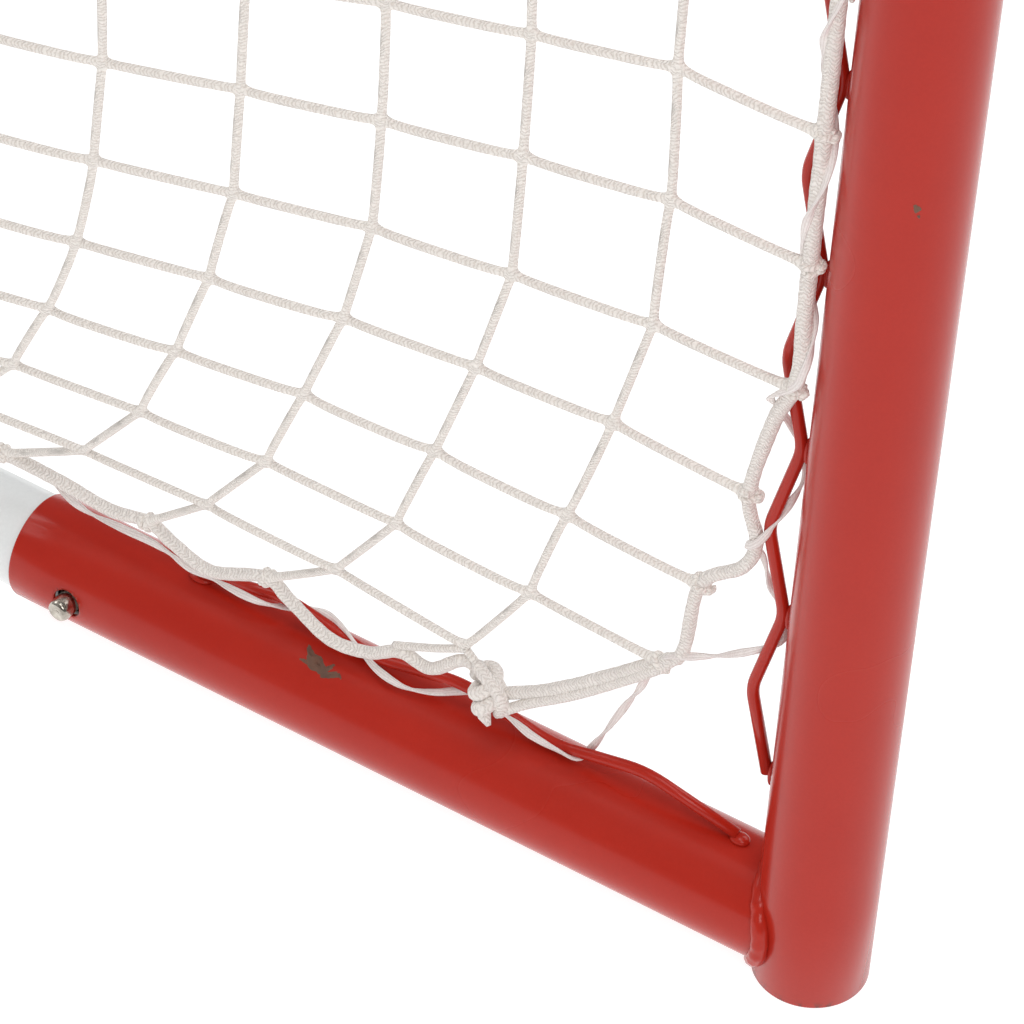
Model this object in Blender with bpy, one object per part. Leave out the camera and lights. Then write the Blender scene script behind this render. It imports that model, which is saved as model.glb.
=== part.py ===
"""Hockey goal: red steel tube front, white rear tubes held by snap buttons, laced net.

Metres, +Z up.  +X is the right post seen from the front, +Y runs from the mouth to the
back.  The origin is on the floor under the middle of the goal.
"""
import math

import bmesh
import bpy
from mathutils import Matrix, Vector

# ---- driving dimensions -------------------------------------------------------------
WIDTH = 1.830            # outside of the two posts
DEPTH = 0.710            # front of the posts to the back of the rear tube
HEIGHT = 1.220           # floor to the top of the crossbar
TUBE_R = 0.019           # red outer tubes, 38 mm
TUBE_WALL = 0.0012
INNER_R = 0.0175         # white tubes that slide inside the red ones, 35 mm
INNER_WALL = 0.0012
SUPPORT_R = 0.0125       # upright between the two rear sleeves, 25 mm
GAP = 0.0003             # clearance between pieces that touch

POST_BEND_R = 0.100      # bend between a post and the crossbar
BASE_BEND_R = 0.200      # rear corners of the base
SHELF_BEND_R = 0.120     # rear corners of the top shelf
BASE_STUB_END = 0.305    # end of the red base sleeve, behind the post's axis
SHELF_DEPTH = 0.420      # crossbar axis to the shelf's rear tube
SHELF_STUB_END = 0.170
SEAM_X = 0.620           # joint between the crossbar and a post's corner
INSERTION = 0.060        # length of white tube inside its sleeve
BASE_SLEEVE_HALF = 0.150
SHELF_SLEEVE_HALF = 0.120
BUTTON_FROM_END = 0.0245 # snap button to the sleeve's mouth

BUTTON_R = 0.0041
BUTTON_HEAD = 0.0055     # how far a button stands proud of its sleeve
BUTTON_HOLE_R = 0.00475
FLANGE_R = 0.0060
FLANGE_T = 0.0010

WIRE_R = 0.0020          # lacing bars
BAR_LOW = TUBE_R + WIRE_R + GAP
BAR_HIGH = 0.0290        # lacing bar's peaks, from the tube's axis
HALF_PITCH = 0.0331
POST_BAR_START = 0.0780
POST_BAR_STEPS = 30
POST_BAR_TURN = math.radians(10)   # towards the inside of the goal
STUB_BAR_START = 0.0310
STUB_BAR_STEPS = 6
BEND_BAR_TILT = math.radians(35)   # the rear bars lean inwards

ROPE_R = 0.0028
CORD_R = 0.0014
SHEET_T = 0.0012
ROPE_HEIGHT = 0.0600     # base rope above the floor
BASE_ROPE_START = 0.1225 # where it leaves the corner knot, behind the post's axis
# Mouth rope from the corner knot up to the post: inwards and back from the axis, height.
CORNER_ROUTE = ((0.0060, 0.1160, 0.0620), (0.0060, 0.0600, 0.1040), (0.0065, 0.0470, 0.1430),
                (0.0080, 0.0340, 0.1860), (0.0100, 0.0250, 0.2360))

# ---- places worked out from them ----------------------------------------------------
POST_X = WIDTH / 2 - TUBE_R
POST_Y = -DEPTH / 2 + TUBE_R
REAR_Y = DEPTH / 2 - TUBE_R
BASE_Z = TUBE_R
TOP_Z = HEIGHT - TUBE_R
SHELF_X = POST_X - POST_BEND_R - 0.030
SHELF_Y = POST_Y + SHELF_DEPTH
BEND_STEPS = 6
TUBE_SIDES = 24
FAR_SIDES = 18
WIRE_SIDES = 6

for old in list(bpy.data.objects):
    bpy.data.objects.remove(old, do_unlink=True)


# ---- materials ----------------------------------------------------------------------
def material(name, color, roughness, metallic=0.0):
    made = bpy.data.materials.new(name)
    made.use_nodes = True
    shader = made.node_tree.nodes["Principled BSDF"]
    shader.inputs["Base Color"].default_value = (*color, 1.0)
    shader.inputs["Roughness"].default_value = roughness
    shader.inputs["Metallic"].default_value = metallic
    return made


RED = material("red_powder_coat", (0.50, 0.035, 0.022), 0.30)
WHITE = material("white_powder_coat", (0.74, 0.77, 0.75), 0.35)
NICKEL = material("nickel_plate", (0.72, 0.71, 0.68), 0.22, 1.0)
STEEL = material("spring_steel", (0.45, 0.45, 0.46), 0.40, 1.0)
TWINE = material("white_twine", (0.80, 0.77, 0.71), 0.85)
NYLON = material("white_lacing_nylon", (0.84, 0.80, 0.77), 0.60)
PLASTIC = material("black_plastic", (0.03, 0.03, 0.03), 0.55)


# ---- modelling helpers --------------------------------------------------------------
def finish_mesh(name, shape, finish, sharp=40):
    """A named object from a bmesh, faces out and round surfaces smooth."""
    bmesh.ops.recalc_face_normals(shape, faces=shape.faces)
    mesh = bpy.data.meshes.new(name)
    shape.to_mesh(mesh)
    shape.free()
    mesh.shade_smooth()
    mesh.set_sharp_from_angle(angle=math.radians(sharp))
    mesh.materials.append(finish)
    made = bpy.data.objects.new(name, mesh)
    bpy.context.scene.collection.objects.link(made)
    return made


def tangents(path):
    """Unit direction at each point of an open path."""
    steps = [(b - a).normalized() for a, b in zip(path, path[1:])]
    inner = [(a + b).normalized() for a, b in zip(steps, steps[1:])]
    return [steps[0], *inner, steps[-1]]


def ring_frames(path):
    """Two axes across the path at each point, carried along without twist."""
    along = tangents(path)
    side = along[0].orthogonal().normalized()
    frames = []
    for before, now in zip([along[0], *along], along):
        side = before.rotation_difference(now) @ side
        side = (side - now * side.dot(now)).normalized()
        frames.append((side, now.cross(side)))
    return frames


def sweep(name, path, radius, finish, bore=None, sides=TUBE_SIDES):
    """A rod, or with a bore a tube, along a path.  A list of radii gives one per point."""
    path = [Vector(p) for p in path]
    outer = radius if isinstance(radius, list) else [radius] * len(path)
    walls = [outer]
    if bore is not None:
        walls.append(bore if isinstance(bore, list) else [bore] * len(path))
    shape = bmesh.new()
    skins = []
    for wall in walls:
        rings = []
        for centre, (u, v), r in zip(path, ring_frames(path), wall):
            angles = [2 * math.pi * k / sides for k in range(sides)]
            rings.append([shape.verts.new(centre + r * (math.cos(a) * u + math.sin(a) * v))
                          for a in angles])
        for first, second in zip(rings, rings[1:]):
            for k in range(sides):
                shape.faces.new((first[k - 1], first[k], second[k], second[k - 1]))
        skins.append(rings)
    for end in (0, -1):
        if bore is None:
            shape.faces.new(skins[0][end])
        else:
            rim, lip = skins[0][end], skins[1][end]
            for k in range(sides):
                shape.faces.new((rim[k - 1], rim[k], lip[k], lip[k - 1]))
    return finish_mesh(name, shape, finish)


def turned(name, profile, finish, sides=12):
    """A solid turned about +Z from (radius, height) points, bottom to top."""
    shape = bmesh.new()
    rings = []
    for r, z in profile:
        angles = [2 * math.pi * k / sides for k in range(sides)]
        rings.append([shape.verts.new((r * math.cos(a), r * math.sin(a), z)) for a in angles])
    for first, second in zip(rings, rings[1:]):
        for k in range(sides):
            shape.faces.new((first[k - 1], first[k], second[k], second[k - 1]))
    shape.faces.new(rings[0])
    shape.faces.new(rings[-1])
    return finish_mesh(name, shape, finish, sharp=30)


def cutter(name, start, end, radius, sides=TUBE_SIDES):
    """A guide cylinder for a Boolean, left out of the goal itself."""
    made = sweep(name, [start, end], radius, STEEL, sides=sides)
    made.hide_render = True
    made.display_type = "WIRE"
    return made


def boolean(target, tool, operation="DIFFERENCE"):
    step = target.modifiers.new(tool.name, "BOOLEAN")
    step.operation = operation
    step.solver = "EXACT"
    step.object = tool


def arc(centre, radius, start, end, across, up, steps=BEND_STEPS):
    """Points on an arc from angle start to end, in the plane of two unit axes."""
    centre, across, up = Vector(centre), Vector(across), Vector(up)
    angles = [start + (end - start) * k / steps for k in range(steps + 1)]
    return [centre + radius * (math.cos(a) * across + math.sin(a) * up) for a in angles]


def zigzag(start, along, outward, low, high, steps, step=HALF_PITCH):
    """A wire's centre line that touches its tube and stands off it by turns."""
    start, along, outward = Vector(start), Vector(along), Vector(outward)
    heights = [high if k % 2 else low for k in range(steps + 1)]
    return [start + along * k * step + outward * height for k, height in enumerate(heights)]


# ---- centre lines, right half (side +1) or left half (side -1) -----------------------
def base_path(side, inset=0.0, height=BASE_Z, front=POST_Y, middle=0.0):
    """Base tube's line: straight back from the post, round the corner, to the middle."""
    corner = (side * (POST_X - BASE_BEND_R), REAR_Y - BASE_BEND_R, height)
    bend = arc(corner, BASE_BEND_R - inset, 0, math.pi / 2, (side, 0, 0), (0, 1, 0))
    first = Vector((side * (POST_X - inset), front, height))
    return [first, *bend, Vector((side * middle, REAR_Y - inset, height))]


def shelf_path(side, inset=0.0, height=TOP_Z, front=POST_Y, middle=0.0):
    """Top shelf's line: back from the crossbar, round the corner, to the middle."""
    corner = (side * (SHELF_X - SHELF_BEND_R), SHELF_Y - SHELF_BEND_R, height)
    bend = arc(corner, SHELF_BEND_R - inset, 0, math.pi / 2, (side, 0, 0), (0, 1, 0))
    first = Vector((side * (SHELF_X - inset), front, height))
    return [first, *bend, Vector((side * middle, SHELF_Y - inset, height))]


def post_bend(side, radius=POST_BEND_R, y=POST_Y):
    corner = (side * (POST_X - POST_BEND_R), y, TOP_Z - POST_BEND_R)
    return arc(corner, radius, 0, math.pi / 2, (side, 0, 0), (0, 0, 1))


# ---- tube frame ---------------------------------------------------------------------
RED_BORE = TUBE_R - TUBE_WALL
WHITE_BORE = INNER_R - INNER_WALL


def make_post(side, name):
    path = [(side * POST_X, POST_Y, 0), *post_bend(side), (side * (SEAM_X + GAP), POST_Y, TOP_Z)]
    return sweep(name, path, TUBE_R, RED, bore=RED_BORE)


def make_crossbar():
    """Middle of the crossbar, its ends drawn down to slip into the corners."""
    slope = 0.0008
    right = [(SEAM_X - slope, TUBE_R), (SEAM_X, INNER_R), (SEAM_X + INSERTION, INNER_R)]
    stations = [(-x, r) for x, r in reversed(right)] + right
    path = [(x, POST_Y, TOP_Z) for x, r in stations]
    radii = [r for x, r in stations]
    return sweep("crossbar", path, radii, RED, bore=[r - TUBE_WALL for r in radii])


def make_base_stub(side, name):
    path = [(side * POST_X, POST_Y + y, BASE_Z) for y in (0.006, BASE_STUB_END)]
    stub = sweep(name, path, TUBE_R, RED, bore=RED_BORE)
    foot = (side * POST_X, POST_Y, -0.01)
    cope = cutter(name + "_cope", foot, (side * POST_X, POST_Y, 0.08), TUBE_R + GAP)
    boolean(stub, cope)
    return stub


def make_shelf_stub(side, name):
    path = [(side * SHELF_X, POST_Y + y, TOP_Z) for y in (0.006, SHELF_STUB_END)]
    stub = sweep(name, path, TUBE_R, RED, bore=RED_BORE)
    left, right = ((side * SHELF_X + dx, POST_Y, TOP_Z) for dx in (-0.04, 0.04))
    boolean(stub, cutter(name + "_cope", left, right, TUBE_R + GAP))
    return stub


def make_sleeve(name, middle, half, support_dir):
    """Straight sleeve across the middle with a socket for the upright support."""
    middle, support_dir = Vector(middle), Vector(support_dir)
    ends = [middle + Vector((x, 0, 0)) for x in (-half, half)]
    sleeve = sweep(name, ends, TUBE_R, WHITE)
    boss = cutter(name + "_boss", middle, middle + support_dir * 0.062, 0.0146, sides=FAR_SIDES)
    boolean(sleeve, boss, "UNION")
    reach = Vector((0.02, 0, 0))
    boolean(sleeve, cutter(name + "_bore", ends[0] - reach, ends[1] + reach, RED_BORE))
    pocket = [middle + support_dir * s for s in (0.0225, 0.080)]
    boolean(sleeve, cutter(name + "_pocket", *pocket, SUPPORT_R + GAP, sides=FAR_SIDES))
    return sleeve


def make_plug(side, name):
    radius = RED_BORE - GAP
    plug = turned(name, [(radius - 0.001, 0), (radius, 0.001), (radius, 0.018)], PLASTIC, FAR_SIDES)
    plug.location = (side * POST_X, POST_Y, 0)
    return plug


SIDES = {"right": 1, "left": -1}
made = {}
for label, side in SIDES.items():
    made[label + "_post"] = make_post(side, label + "_post")
    made[label + "_post_plug"] = make_plug(side, label + "_post_plug")
    made[label + "_base_stub"] = make_base_stub(side, label + "_base_stub")
    made[label + "_shelf_stub"] = make_shelf_stub(side, label + "_shelf_stub")
    base = base_path(side, front=POST_Y + BASE_STUB_END - INSERTION,
                     middle=BASE_SLEEVE_HALF - INSERTION)
    shelf = shelf_path(side, front=POST_Y + SHELF_STUB_END - INSERTION,
                       middle=SHELF_SLEEVE_HALF - INSERTION)
    made[label + "_base_bend"] = sweep(label + "_base_bend", base, INNER_R, WHITE,
                                       bore=WHITE_BORE, sides=FAR_SIDES)
    made[label + "_shelf_bend"] = sweep(label + "_shelf_bend", shelf, INNER_R, WHITE,
                                        bore=WHITE_BORE, sides=FAR_SIDES)

made["crossbar"] = make_crossbar()
base_middle = Vector((0, REAR_Y, BASE_Z))
shelf_middle = Vector((0, SHELF_Y, TOP_Z))
rise = (shelf_middle - base_middle).normalized()
made["base_centre_sleeve"] = make_sleeve("base_centre_sleeve", base_middle,
                                         BASE_SLEEVE_HALF, rise)
made["shelf_centre_sleeve"] = make_sleeve("shelf_centre_sleeve", shelf_middle,
                                          SHELF_SLEEVE_HALF, -rise)
support_ends = [base_middle + rise * 0.0235, shelf_middle - rise * 0.0235]
sweep("centre_support", support_ends, SUPPORT_R, WHITE, bore=SUPPORT_R - 0.0012,
      sides=FAR_SIDES)


# ---- snap joints: a sprung button through two tubes -----------------------------------
def make_button(name):
    base = WHITE_BORE - 0.0018 - FLANGE_T
    top = TUBE_R + BUTTON_HEAD
    profile = [(FLANGE_R, base), (FLANGE_R, base + FLANGE_T), (BUTTON_R, base + FLANGE_T),
               (BUTTON_R, top - 0.0006), (BUTTON_R - 0.0006, top)]
    return turned(name, profile, NICKEL)


def make_spring(name):
    """A folded strip: one leg lies under the button, the other on the far wall."""
    thickness, half_width = 0.0007, 0.0035
    upper = Vector((0.0070, 0.0126))
    lower = Vector((0.0090, -0.0143))
    fold_at, fold_r = -0.0400, 0.0035
    fold = [(fold_at - fold_r * math.sin(a), fold_r * math.cos(a))
            for a in (math.pi * k / 6 for k in range(7))]
    line = [upper, *(Vector(p) for p in fold), lower]
    offset = []
    for before, here, after in zip([line[0], *line], line, [*line[1:], line[-1]]):
        run = (after - before).normalized()
        offset.append(here + Vector((-run.y, run.x)) * thickness)
    shape = bmesh.new()
    outline = [shape.verts.new((p.x, -half_width, p.y)) for p in line + offset[::-1]]
    face = shape.faces.new(outline)
    grown = bmesh.ops.extrude_face_region(shape, geom=[face])["geom"]
    moved = [v for v in grown if isinstance(v, bmesh.types.BMVert)]
    bmesh.ops.translate(shape, verts=moved, vec=(0, 2 * half_width, 0))
    return finish_mesh(name, shape, STEEL)


def snap_joint(label, centre, outward, towards_mouth, outer, inner):
    """Button and spring inside two tubes; the sleeve's mouth lies on the -mouth side."""
    z, x = Vector(outward), Vector(towards_mouth)
    turn = Matrix((x, z.cross(x), z)).transposed().to_4x4()
    place = Matrix.Translation(Vector(centre)) @ turn
    for piece in (make_button("button_" + label), make_spring("spring_" + label)):
        piece.matrix_world = place
    hole = [Vector(centre) + z * s for s in (0.010, 0.030)]
    drill = cutter("hole_" + label, *hole, BUTTON_HOLE_R, sides=16)
    boolean(made[outer], drill)
    boolean(made[inner], drill)


for label, side in SIDES.items():
    x = Vector((side, 0, 0))
    back = Vector((0, 1, 0))
    up = Vector((0, 0, 1))
    snap_joint(label + "_base_front",
               (side * POST_X, POST_Y + BASE_STUB_END - BUTTON_FROM_END, BASE_Z),
               -x, -back, label + "_base_stub", label + "_base_bend")
    snap_joint(label + "_shelf_front",
               (side * SHELF_X, POST_Y + SHELF_STUB_END - BUTTON_FROM_END, TOP_Z),
               up, -back, label + "_shelf_stub", label + "_shelf_bend")
    snap_joint(label + "_base_rear",
               (side * (BASE_SLEEVE_HALF - BUTTON_FROM_END), REAR_Y, BASE_Z),
               -back, -x, "base_centre_sleeve", label + "_base_bend")
    snap_joint(label + "_shelf_rear",
               (side * (SHELF_SLEEVE_HALF - BUTTON_FROM_END), SHELF_Y, TOP_Z),
               up, -x, "shelf_centre_sleeve", label + "_shelf_bend")
    snap_joint(label + "_crossbar",
               (side * (SEAM_X + BUTTON_FROM_END), POST_Y, TOP_Z),
               back, x, label + "_post", "crossbar")


# ---- lacing bars ----------------------------------------------------------------------
def post_round(side, angle, distance):
    """Offset from a post's axis; angle 0 points to the goal's inside, 90 degrees back."""
    return Vector((-side * math.cos(angle), math.sin(angle), 0)) * distance


def make_bend_bar(side, name):
    """Zig-zag along the white base tube, leaning inwards, from the red stub to the sleeve."""
    guide = base_path(side, front=POST_Y + BASE_STUB_END + 0.020, middle=BASE_SLEEVE_HALF + 0.012)
    lengths = [0.0]
    for a, b in zip(guide, guide[1:]):
        lengths.append(lengths[-1] + (b - a).length)
    steps = 2 * int(lengths[-1] / HALF_PITCH / 2)
    step = lengths[-1] / steps

    def at(distance, stand_off):
        distance = min(max(distance, 0.0), lengths[-1])
        k = next(i for i in range(1, len(lengths)) if distance <= lengths[i] + 1e-9)
        share = (distance - lengths[k - 1]) / (lengths[k] - lengths[k - 1])
        ahead = (guide[k] - guide[k - 1]).normalized()
        inward = Vector((0, 0, 1)).cross(ahead) * side
        out = Vector((0, 0, math.cos(BEND_BAR_TILT))) + inward * math.sin(BEND_BAR_TILT)
        return guide[k - 1].lerp(guide[k], share) + out * stand_off

    low = INNER_R + WIRE_R + 2.5 * GAP
    points = [at(k * step, BAR_HIGH if k % 2 else low) for k in range(steps + 1)]
    return sweep(name, points, WIRE_R, WHITE, sides=WIRE_SIDES)


for label, side in SIDES.items():
    foot = (side * POST_X, POST_Y, POST_BAR_START)
    outward = post_round(side, math.pi / 2 - POST_BAR_TURN, 1)
    sweep(label + "_post_lacing_bar",
          zigzag(foot, (0, 0, 1), outward, BAR_LOW, BAR_HIGH, POST_BAR_STEPS),
          WIRE_R, RED, sides=WIRE_SIDES)
    start = (side * (POST_X + 0.001), POST_Y + STUB_BAR_START, BASE_Z)
    sweep(label + "_stub_lacing_bar",
          zigzag(start, (0, 1, 0), (0, 0, 1), BAR_LOW, BAR_HIGH, STUB_BAR_STEPS, step=0.0347),
          WIRE_R, RED, sides=WIRE_SIDES)
    make_bend_bar(side, label + "_base_lacing_bar")

crossbar_steps = 36
sweep("crossbar_lacing_bar",
      zigzag((-crossbar_steps / 2 * HALF_PITCH, POST_Y, TOP_Z), (1, 0, 0), (0, 1, 0),
             BAR_LOW, BAR_HIGH, crossbar_steps),
      WIRE_R, RED, sides=WIRE_SIDES)


# ---- border ropes and lacing cords ------------------------------------------------------
def round_mouth(angle_at, radius_at, foot, steps_up=20):
    """A line round the mouth, placed by angle and distance about the posts' axis.

    Its ends leave the posts and run back to the corner knots on the base."""
    half = [(Vector((POST_X, POST_Y, foot + (TOP_Z - POST_BEND_R - foot) * k / steps_up)),
             Vector((-1, 0, 0))) for k in range(steps_up)]
    turn = [math.pi / 2 * k / BEND_STEPS for k in range(BEND_STEPS + 1)]
    half += [(p, Vector((-math.cos(a), 0, -math.sin(a))))
             for p, a in zip(post_bend(1), turn)]
    half += [(Vector((x, POST_Y, TOP_Z)), Vector((0, 0, -1)))
             for x in (0.77, 0.74, 0.71, 0.68, 0.64, 0.60, 0.40, 0.20, 0.0)]
    points = []
    for centre, inward in half:
        angle = angle_at(centre)
        out = inward * math.cos(angle) + Vector((0, 1, 0)) * math.sin(angle)
        points.append(centre + out * radius_at(centre))
    points = [Vector((POST_X - inside, POST_Y + back, height))
              for inside, back, height in CORNER_ROUTE] + points
    left = [Vector((-p.x, p.y, p.z)) for p in reversed(points[:-1])]
    return points + left


def smoothstep(low, high, value):
    t = min(max((value - low) / (high - low), 0.0), 1.0)
    return t * t * (3 - 2 * t)


def rope_angle(centre):
    """Beside the bar on the posts and the crossbar, under the shelf stubs at the corners."""
    beside, under = math.radians(63), math.radians(18)
    up_post = smoothstep(TOP_Z - 0.25, TOP_Z - 0.10, centre.z)
    near_corner = smoothstep(0.60, 0.71, centre.x)
    return beside + (under - beside) * up_post * near_corner


sweep("mouth_rope", round_mouth(rope_angle, lambda c: TUBE_R + ROPE_R + 0.0012, foot=0.280),
      ROPE_R, TWINE, sides=WIRE_SIDES)


def base_rope_inset(point):
    """The rope lies by the bar on the stubs and swings in to clear the support behind."""
    return 0.006 + 0.021 * smoothstep(POST_Y + 0.30, POST_Y + 0.46, point.y)


def base_line(inset_at, height, front, extra=()):
    """A line that follows the base from one post's rear side to the other's."""
    half = [Vector((POST_X, y, height)) for y in (front, *extra)]
    half += [p for p in base_path(1, height=height)[1:]]
    centre = Vector((POST_X - BASE_BEND_R, REAR_Y - BASE_BEND_R, height))
    points = []
    for p in half:
        radial = p - centre
        if p.y <= centre.y:
            inward = Vector((-1, 0, 0))
        elif p.x <= centre.x:
            inward = Vector((0, -1, 0))
        else:
            inward = -radial.normalized()
        points.append(p + inward * inset_at(p))
    left = [Vector((-p.x, p.y, p.z)) for p in reversed(points[:-1])]
    return points + left


swing = [POST_Y + 0.30 + 0.02 * k for k in range(9)]
sweep("base_rope", base_line(base_rope_inset, ROPE_HEIGHT, POST_Y + BASE_ROPE_START, extra=swing),
      ROPE_R, TWINE, sides=WIRE_SIDES)

for label, side in SIDES.items():
    cord_round = post_round(side, math.radians(108), 0.0245)
    ends = [Vector((side * POST_X, POST_Y, z)) + cord_round for z in (0.100, 1.070)]
    sweep(label + "_post_lacing_cord", ends, CORD_R, NYLON, sides=WIRE_SIDES)

sweep("crossbar_lacing_cord",
      [(x, POST_Y + 0.0245 * math.sin(math.radians(108)), TOP_Z + 0.0245 * 0.309)
       for x in (-0.59, 0.59)], CORD_R, NYLON, sides=WIRE_SIDES)
sweep("base_lacing_cord",
      base_line(lambda p: base_rope_inset(p) - 0.0005, ROPE_HEIGHT - 0.0052,
                POST_Y + BASE_ROPE_START,
                extra=swing), CORD_R, NYLON, sides=WIRE_SIDES)

shelf_cord = shelf_path(1, inset=0.0215, height=TOP_Z - 0.0020, front=POST_Y + 0.060)
shelf_cord += [Vector((-p.x, p.y, p.z)) for p in reversed(shelf_cord[:-1])]
sweep("shelf_lacing_cord", shelf_cord, CORD_R, NYLON, sides=WIRE_SIDES)


# ---- net ----------------------------------------------------------------------------------
PANEL_BOTTOM = ROPE_HEIGHT + ROPE_R + 0.0008
PANEL_TOP = TOP_Z - 0.0080
PANEL_FRONT = POST_Y + 0.0262     # just behind the border rope
SHELF_INSET = 0.0235              # net's upper edge, inside the shelf tube
NET_ROWS = 8
SPREAD = 0.30                     # the net follows the post this far back
CORNER_CUT = 0.105                # the net stops this far behind the post at the bottom,
CUT_HEIGHT = 0.240                # and reaches the post at this height


def skirt_lines():
    """Lower and upper edge of the net's right half, matched point by point."""
    side_steps = 5
    low_corner = Vector((POST_X - BASE_BEND_R, REAR_Y - BASE_BEND_R, PANEL_BOTTOM))
    high_corner = Vector((SHELF_X - SHELF_BEND_R, SHELF_Y - SHELF_BEND_R, PANEL_TOP))
    low, high = [], []
    for k in range(side_steps):
        y_low = PANEL_FRONT + (low_corner.y - PANEL_FRONT) * k / side_steps
        y_high = PANEL_FRONT + (high_corner.y - PANEL_FRONT) * k / side_steps
        low.append(Vector((POST_X - base_rope_inset(Vector((0, y_low, 0))) - 0.004, y_low,
                           PANEL_BOTTOM)))
        high.append(Vector((SHELF_X - SHELF_INSET, y_high, PANEL_TOP)))
    inset = base_rope_inset(low_corner) + 0.004
    low += arc(low_corner, BASE_BEND_R - inset, 0, math.pi / 2, (1, 0, 0), (0, 1, 0))
    high += arc(high_corner, SHELF_BEND_R - SHELF_INSET, 0, math.pi / 2, (1, 0, 0), (0, 1, 0))
    low.append(Vector((0, REAR_Y - inset, PANEL_BOTTOM)))
    high.append(Vector((0, SHELF_Y - SHELF_INSET, PANEL_TOP)))
    return low, high, side_steps + BEND_STEPS // 2


def front_edge(share):
    """Net's edge along the post and round its bend, at a share of the height."""
    height = PANEL_BOTTOM + (PANEL_TOP - PANEL_BOTTOM) * share
    rounded = POST_BEND_R - 0.030
    start = TOP_Z - POST_BEND_R
    x = POST_X - 0.0100
    slanted = x - (SHELF_X - SHELF_INSET) - rounded
    if height > start:
        rise_here = min((height - start) / (PANEL_TOP - start), 1.0)
        x -= rounded * (1 - math.sqrt(max(1 - rise_here ** 2, 0))) + slanted * rise_here
    below = max(CUT_HEIGHT - height, 0) / (CUT_HEIGHT - PANEL_BOTTOM)
    return Vector((x, PANEL_FRONT + CORNER_CUT * below ** 1.5, height))


def skirt_point(low, high, share):
    """A point of the net between its edges, pulled to the post near the front."""
    point = low.lerp(high, share)
    start_low, start_high = skirt_low[0], skirt_high[0]
    pull = front_edge(share) - start_low.lerp(start_high, share)
    distance = max(point.y - PANEL_FRONT, 0.0)
    return point + pull * (1 - smoothstep(0.0, SPREAD, distance))


skirt_low, skirt_high, split = skirt_lines()


def make_sheet(name, columns):
    """A thin closed sheet through columns of points, one column per place along the edge."""
    shape = bmesh.new()
    grid = [[shape.verts.new(p) for p in column] for column in columns]
    for first, second in zip(grid, grid[1:]):
        for k in range(len(first) - 1):
            shape.faces.new((first[k], first[k + 1], second[k + 1], second[k]))
    sheet = finish_mesh(name, shape, TWINE)
    skin = sheet.modifiers.new("thickness", "SOLIDIFY")
    skin.thickness = SHEET_T
    skin.offset = 0
    skin.use_even_offset = True
    return sheet


shares = [k / NET_ROWS for k in range(NET_ROWS + 1)]
half_net = [[skirt_point(a, b, s) for s in shares] for a, b in zip(skirt_low, skirt_high)]
panel_gap = 0.0010


def mirrored(columns):
    return [[Vector((-p.x, p.y, p.z)) for p in column] for column in reversed(columns)]


def shifted(columns):
    """Columns whose first one stands clear of the neighbouring panel."""
    first, second = columns[0], columns[1]
    moved = [a + (b - a).normalized() * panel_gap for a, b in zip(first, second)]
    return [moved, *columns[1:]]


net_side = half_net[:split + 1]
net_rear = shifted(half_net[split:])
make_sheet("net_right", net_side)
make_sheet("net_left", mirrored(net_side))
make_sheet("net_back", net_rear + mirrored(net_rear[:-1]))

top_edge = shelf_path(1, inset=SHELF_INSET + 0.0015, height=PANEL_TOP + 0.0022,
                      front=POST_Y + 0.0320)[:-1]
top_edge += [Vector((-p.x, p.y, p.z)) for p in reversed(top_edge)]
top = bmesh.new()
top_face = top.faces.new([top.verts.new(p) for p in top_edge])
top_grown = bmesh.ops.extrude_face_region(top, geom=[top_face])["geom"]
bmesh.ops.translate(top, verts=[v for v in top_grown if isinstance(v, bmesh.types.BMVert)],
                    vec=(0, 0, SHEET_T))
finish_mesh("net_top", top, TWINE)
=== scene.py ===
"""Looks of the hockey goal net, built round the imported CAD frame.  Metres, +Z up."""
import math

import bmesh
import bpy
import numpy as np
from mathutils import Matrix, Vector


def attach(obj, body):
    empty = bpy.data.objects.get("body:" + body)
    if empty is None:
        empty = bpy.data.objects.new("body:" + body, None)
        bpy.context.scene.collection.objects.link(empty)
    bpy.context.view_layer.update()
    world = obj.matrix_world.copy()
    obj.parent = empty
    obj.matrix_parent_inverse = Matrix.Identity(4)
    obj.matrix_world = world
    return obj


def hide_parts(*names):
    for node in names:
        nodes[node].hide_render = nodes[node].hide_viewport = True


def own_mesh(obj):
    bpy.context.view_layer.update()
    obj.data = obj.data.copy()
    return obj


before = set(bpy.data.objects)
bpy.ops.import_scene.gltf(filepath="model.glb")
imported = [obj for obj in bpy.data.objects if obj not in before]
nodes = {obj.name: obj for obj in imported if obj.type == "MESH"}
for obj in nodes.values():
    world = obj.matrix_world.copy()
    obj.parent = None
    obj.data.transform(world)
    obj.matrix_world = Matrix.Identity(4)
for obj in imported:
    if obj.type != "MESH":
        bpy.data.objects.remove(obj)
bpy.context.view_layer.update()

# ---- the frame's dimensions, as the CAD has them ------------------------------------
TUBE_R, TUBE_WALL, INNER_R, INNER_WALL = 0.019, 0.0012, 0.0175, 0.0012
GAP = 0.0003
POST_X, POST_Y, REAR_Y = 0.896, -0.336, 0.336
BASE_Z, TOP_Z = 0.019, 1.201
SHELF_X, SHELF_Y = 0.766, 0.084
POST_BEND_R, BASE_BEND_R, SHELF_BEND_R = 0.100, 0.200, 0.120
BASE_STUB_END, SHELF_STUB_END, SEAM_X, INSERTION = 0.305, 0.170, 0.620, 0.060
BASE_SLEEVE_HALF, SHELF_SLEEVE_HALF = 0.150, 0.120
BUTTON_FROM_END, BUTTON_R, BUTTON_HEAD, BUTTON_HOLE_R = 0.0245, 0.0041, 0.0055, 0.00475
FLANGE_R, FLANGE_T = 0.0060, 0.0010
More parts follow.
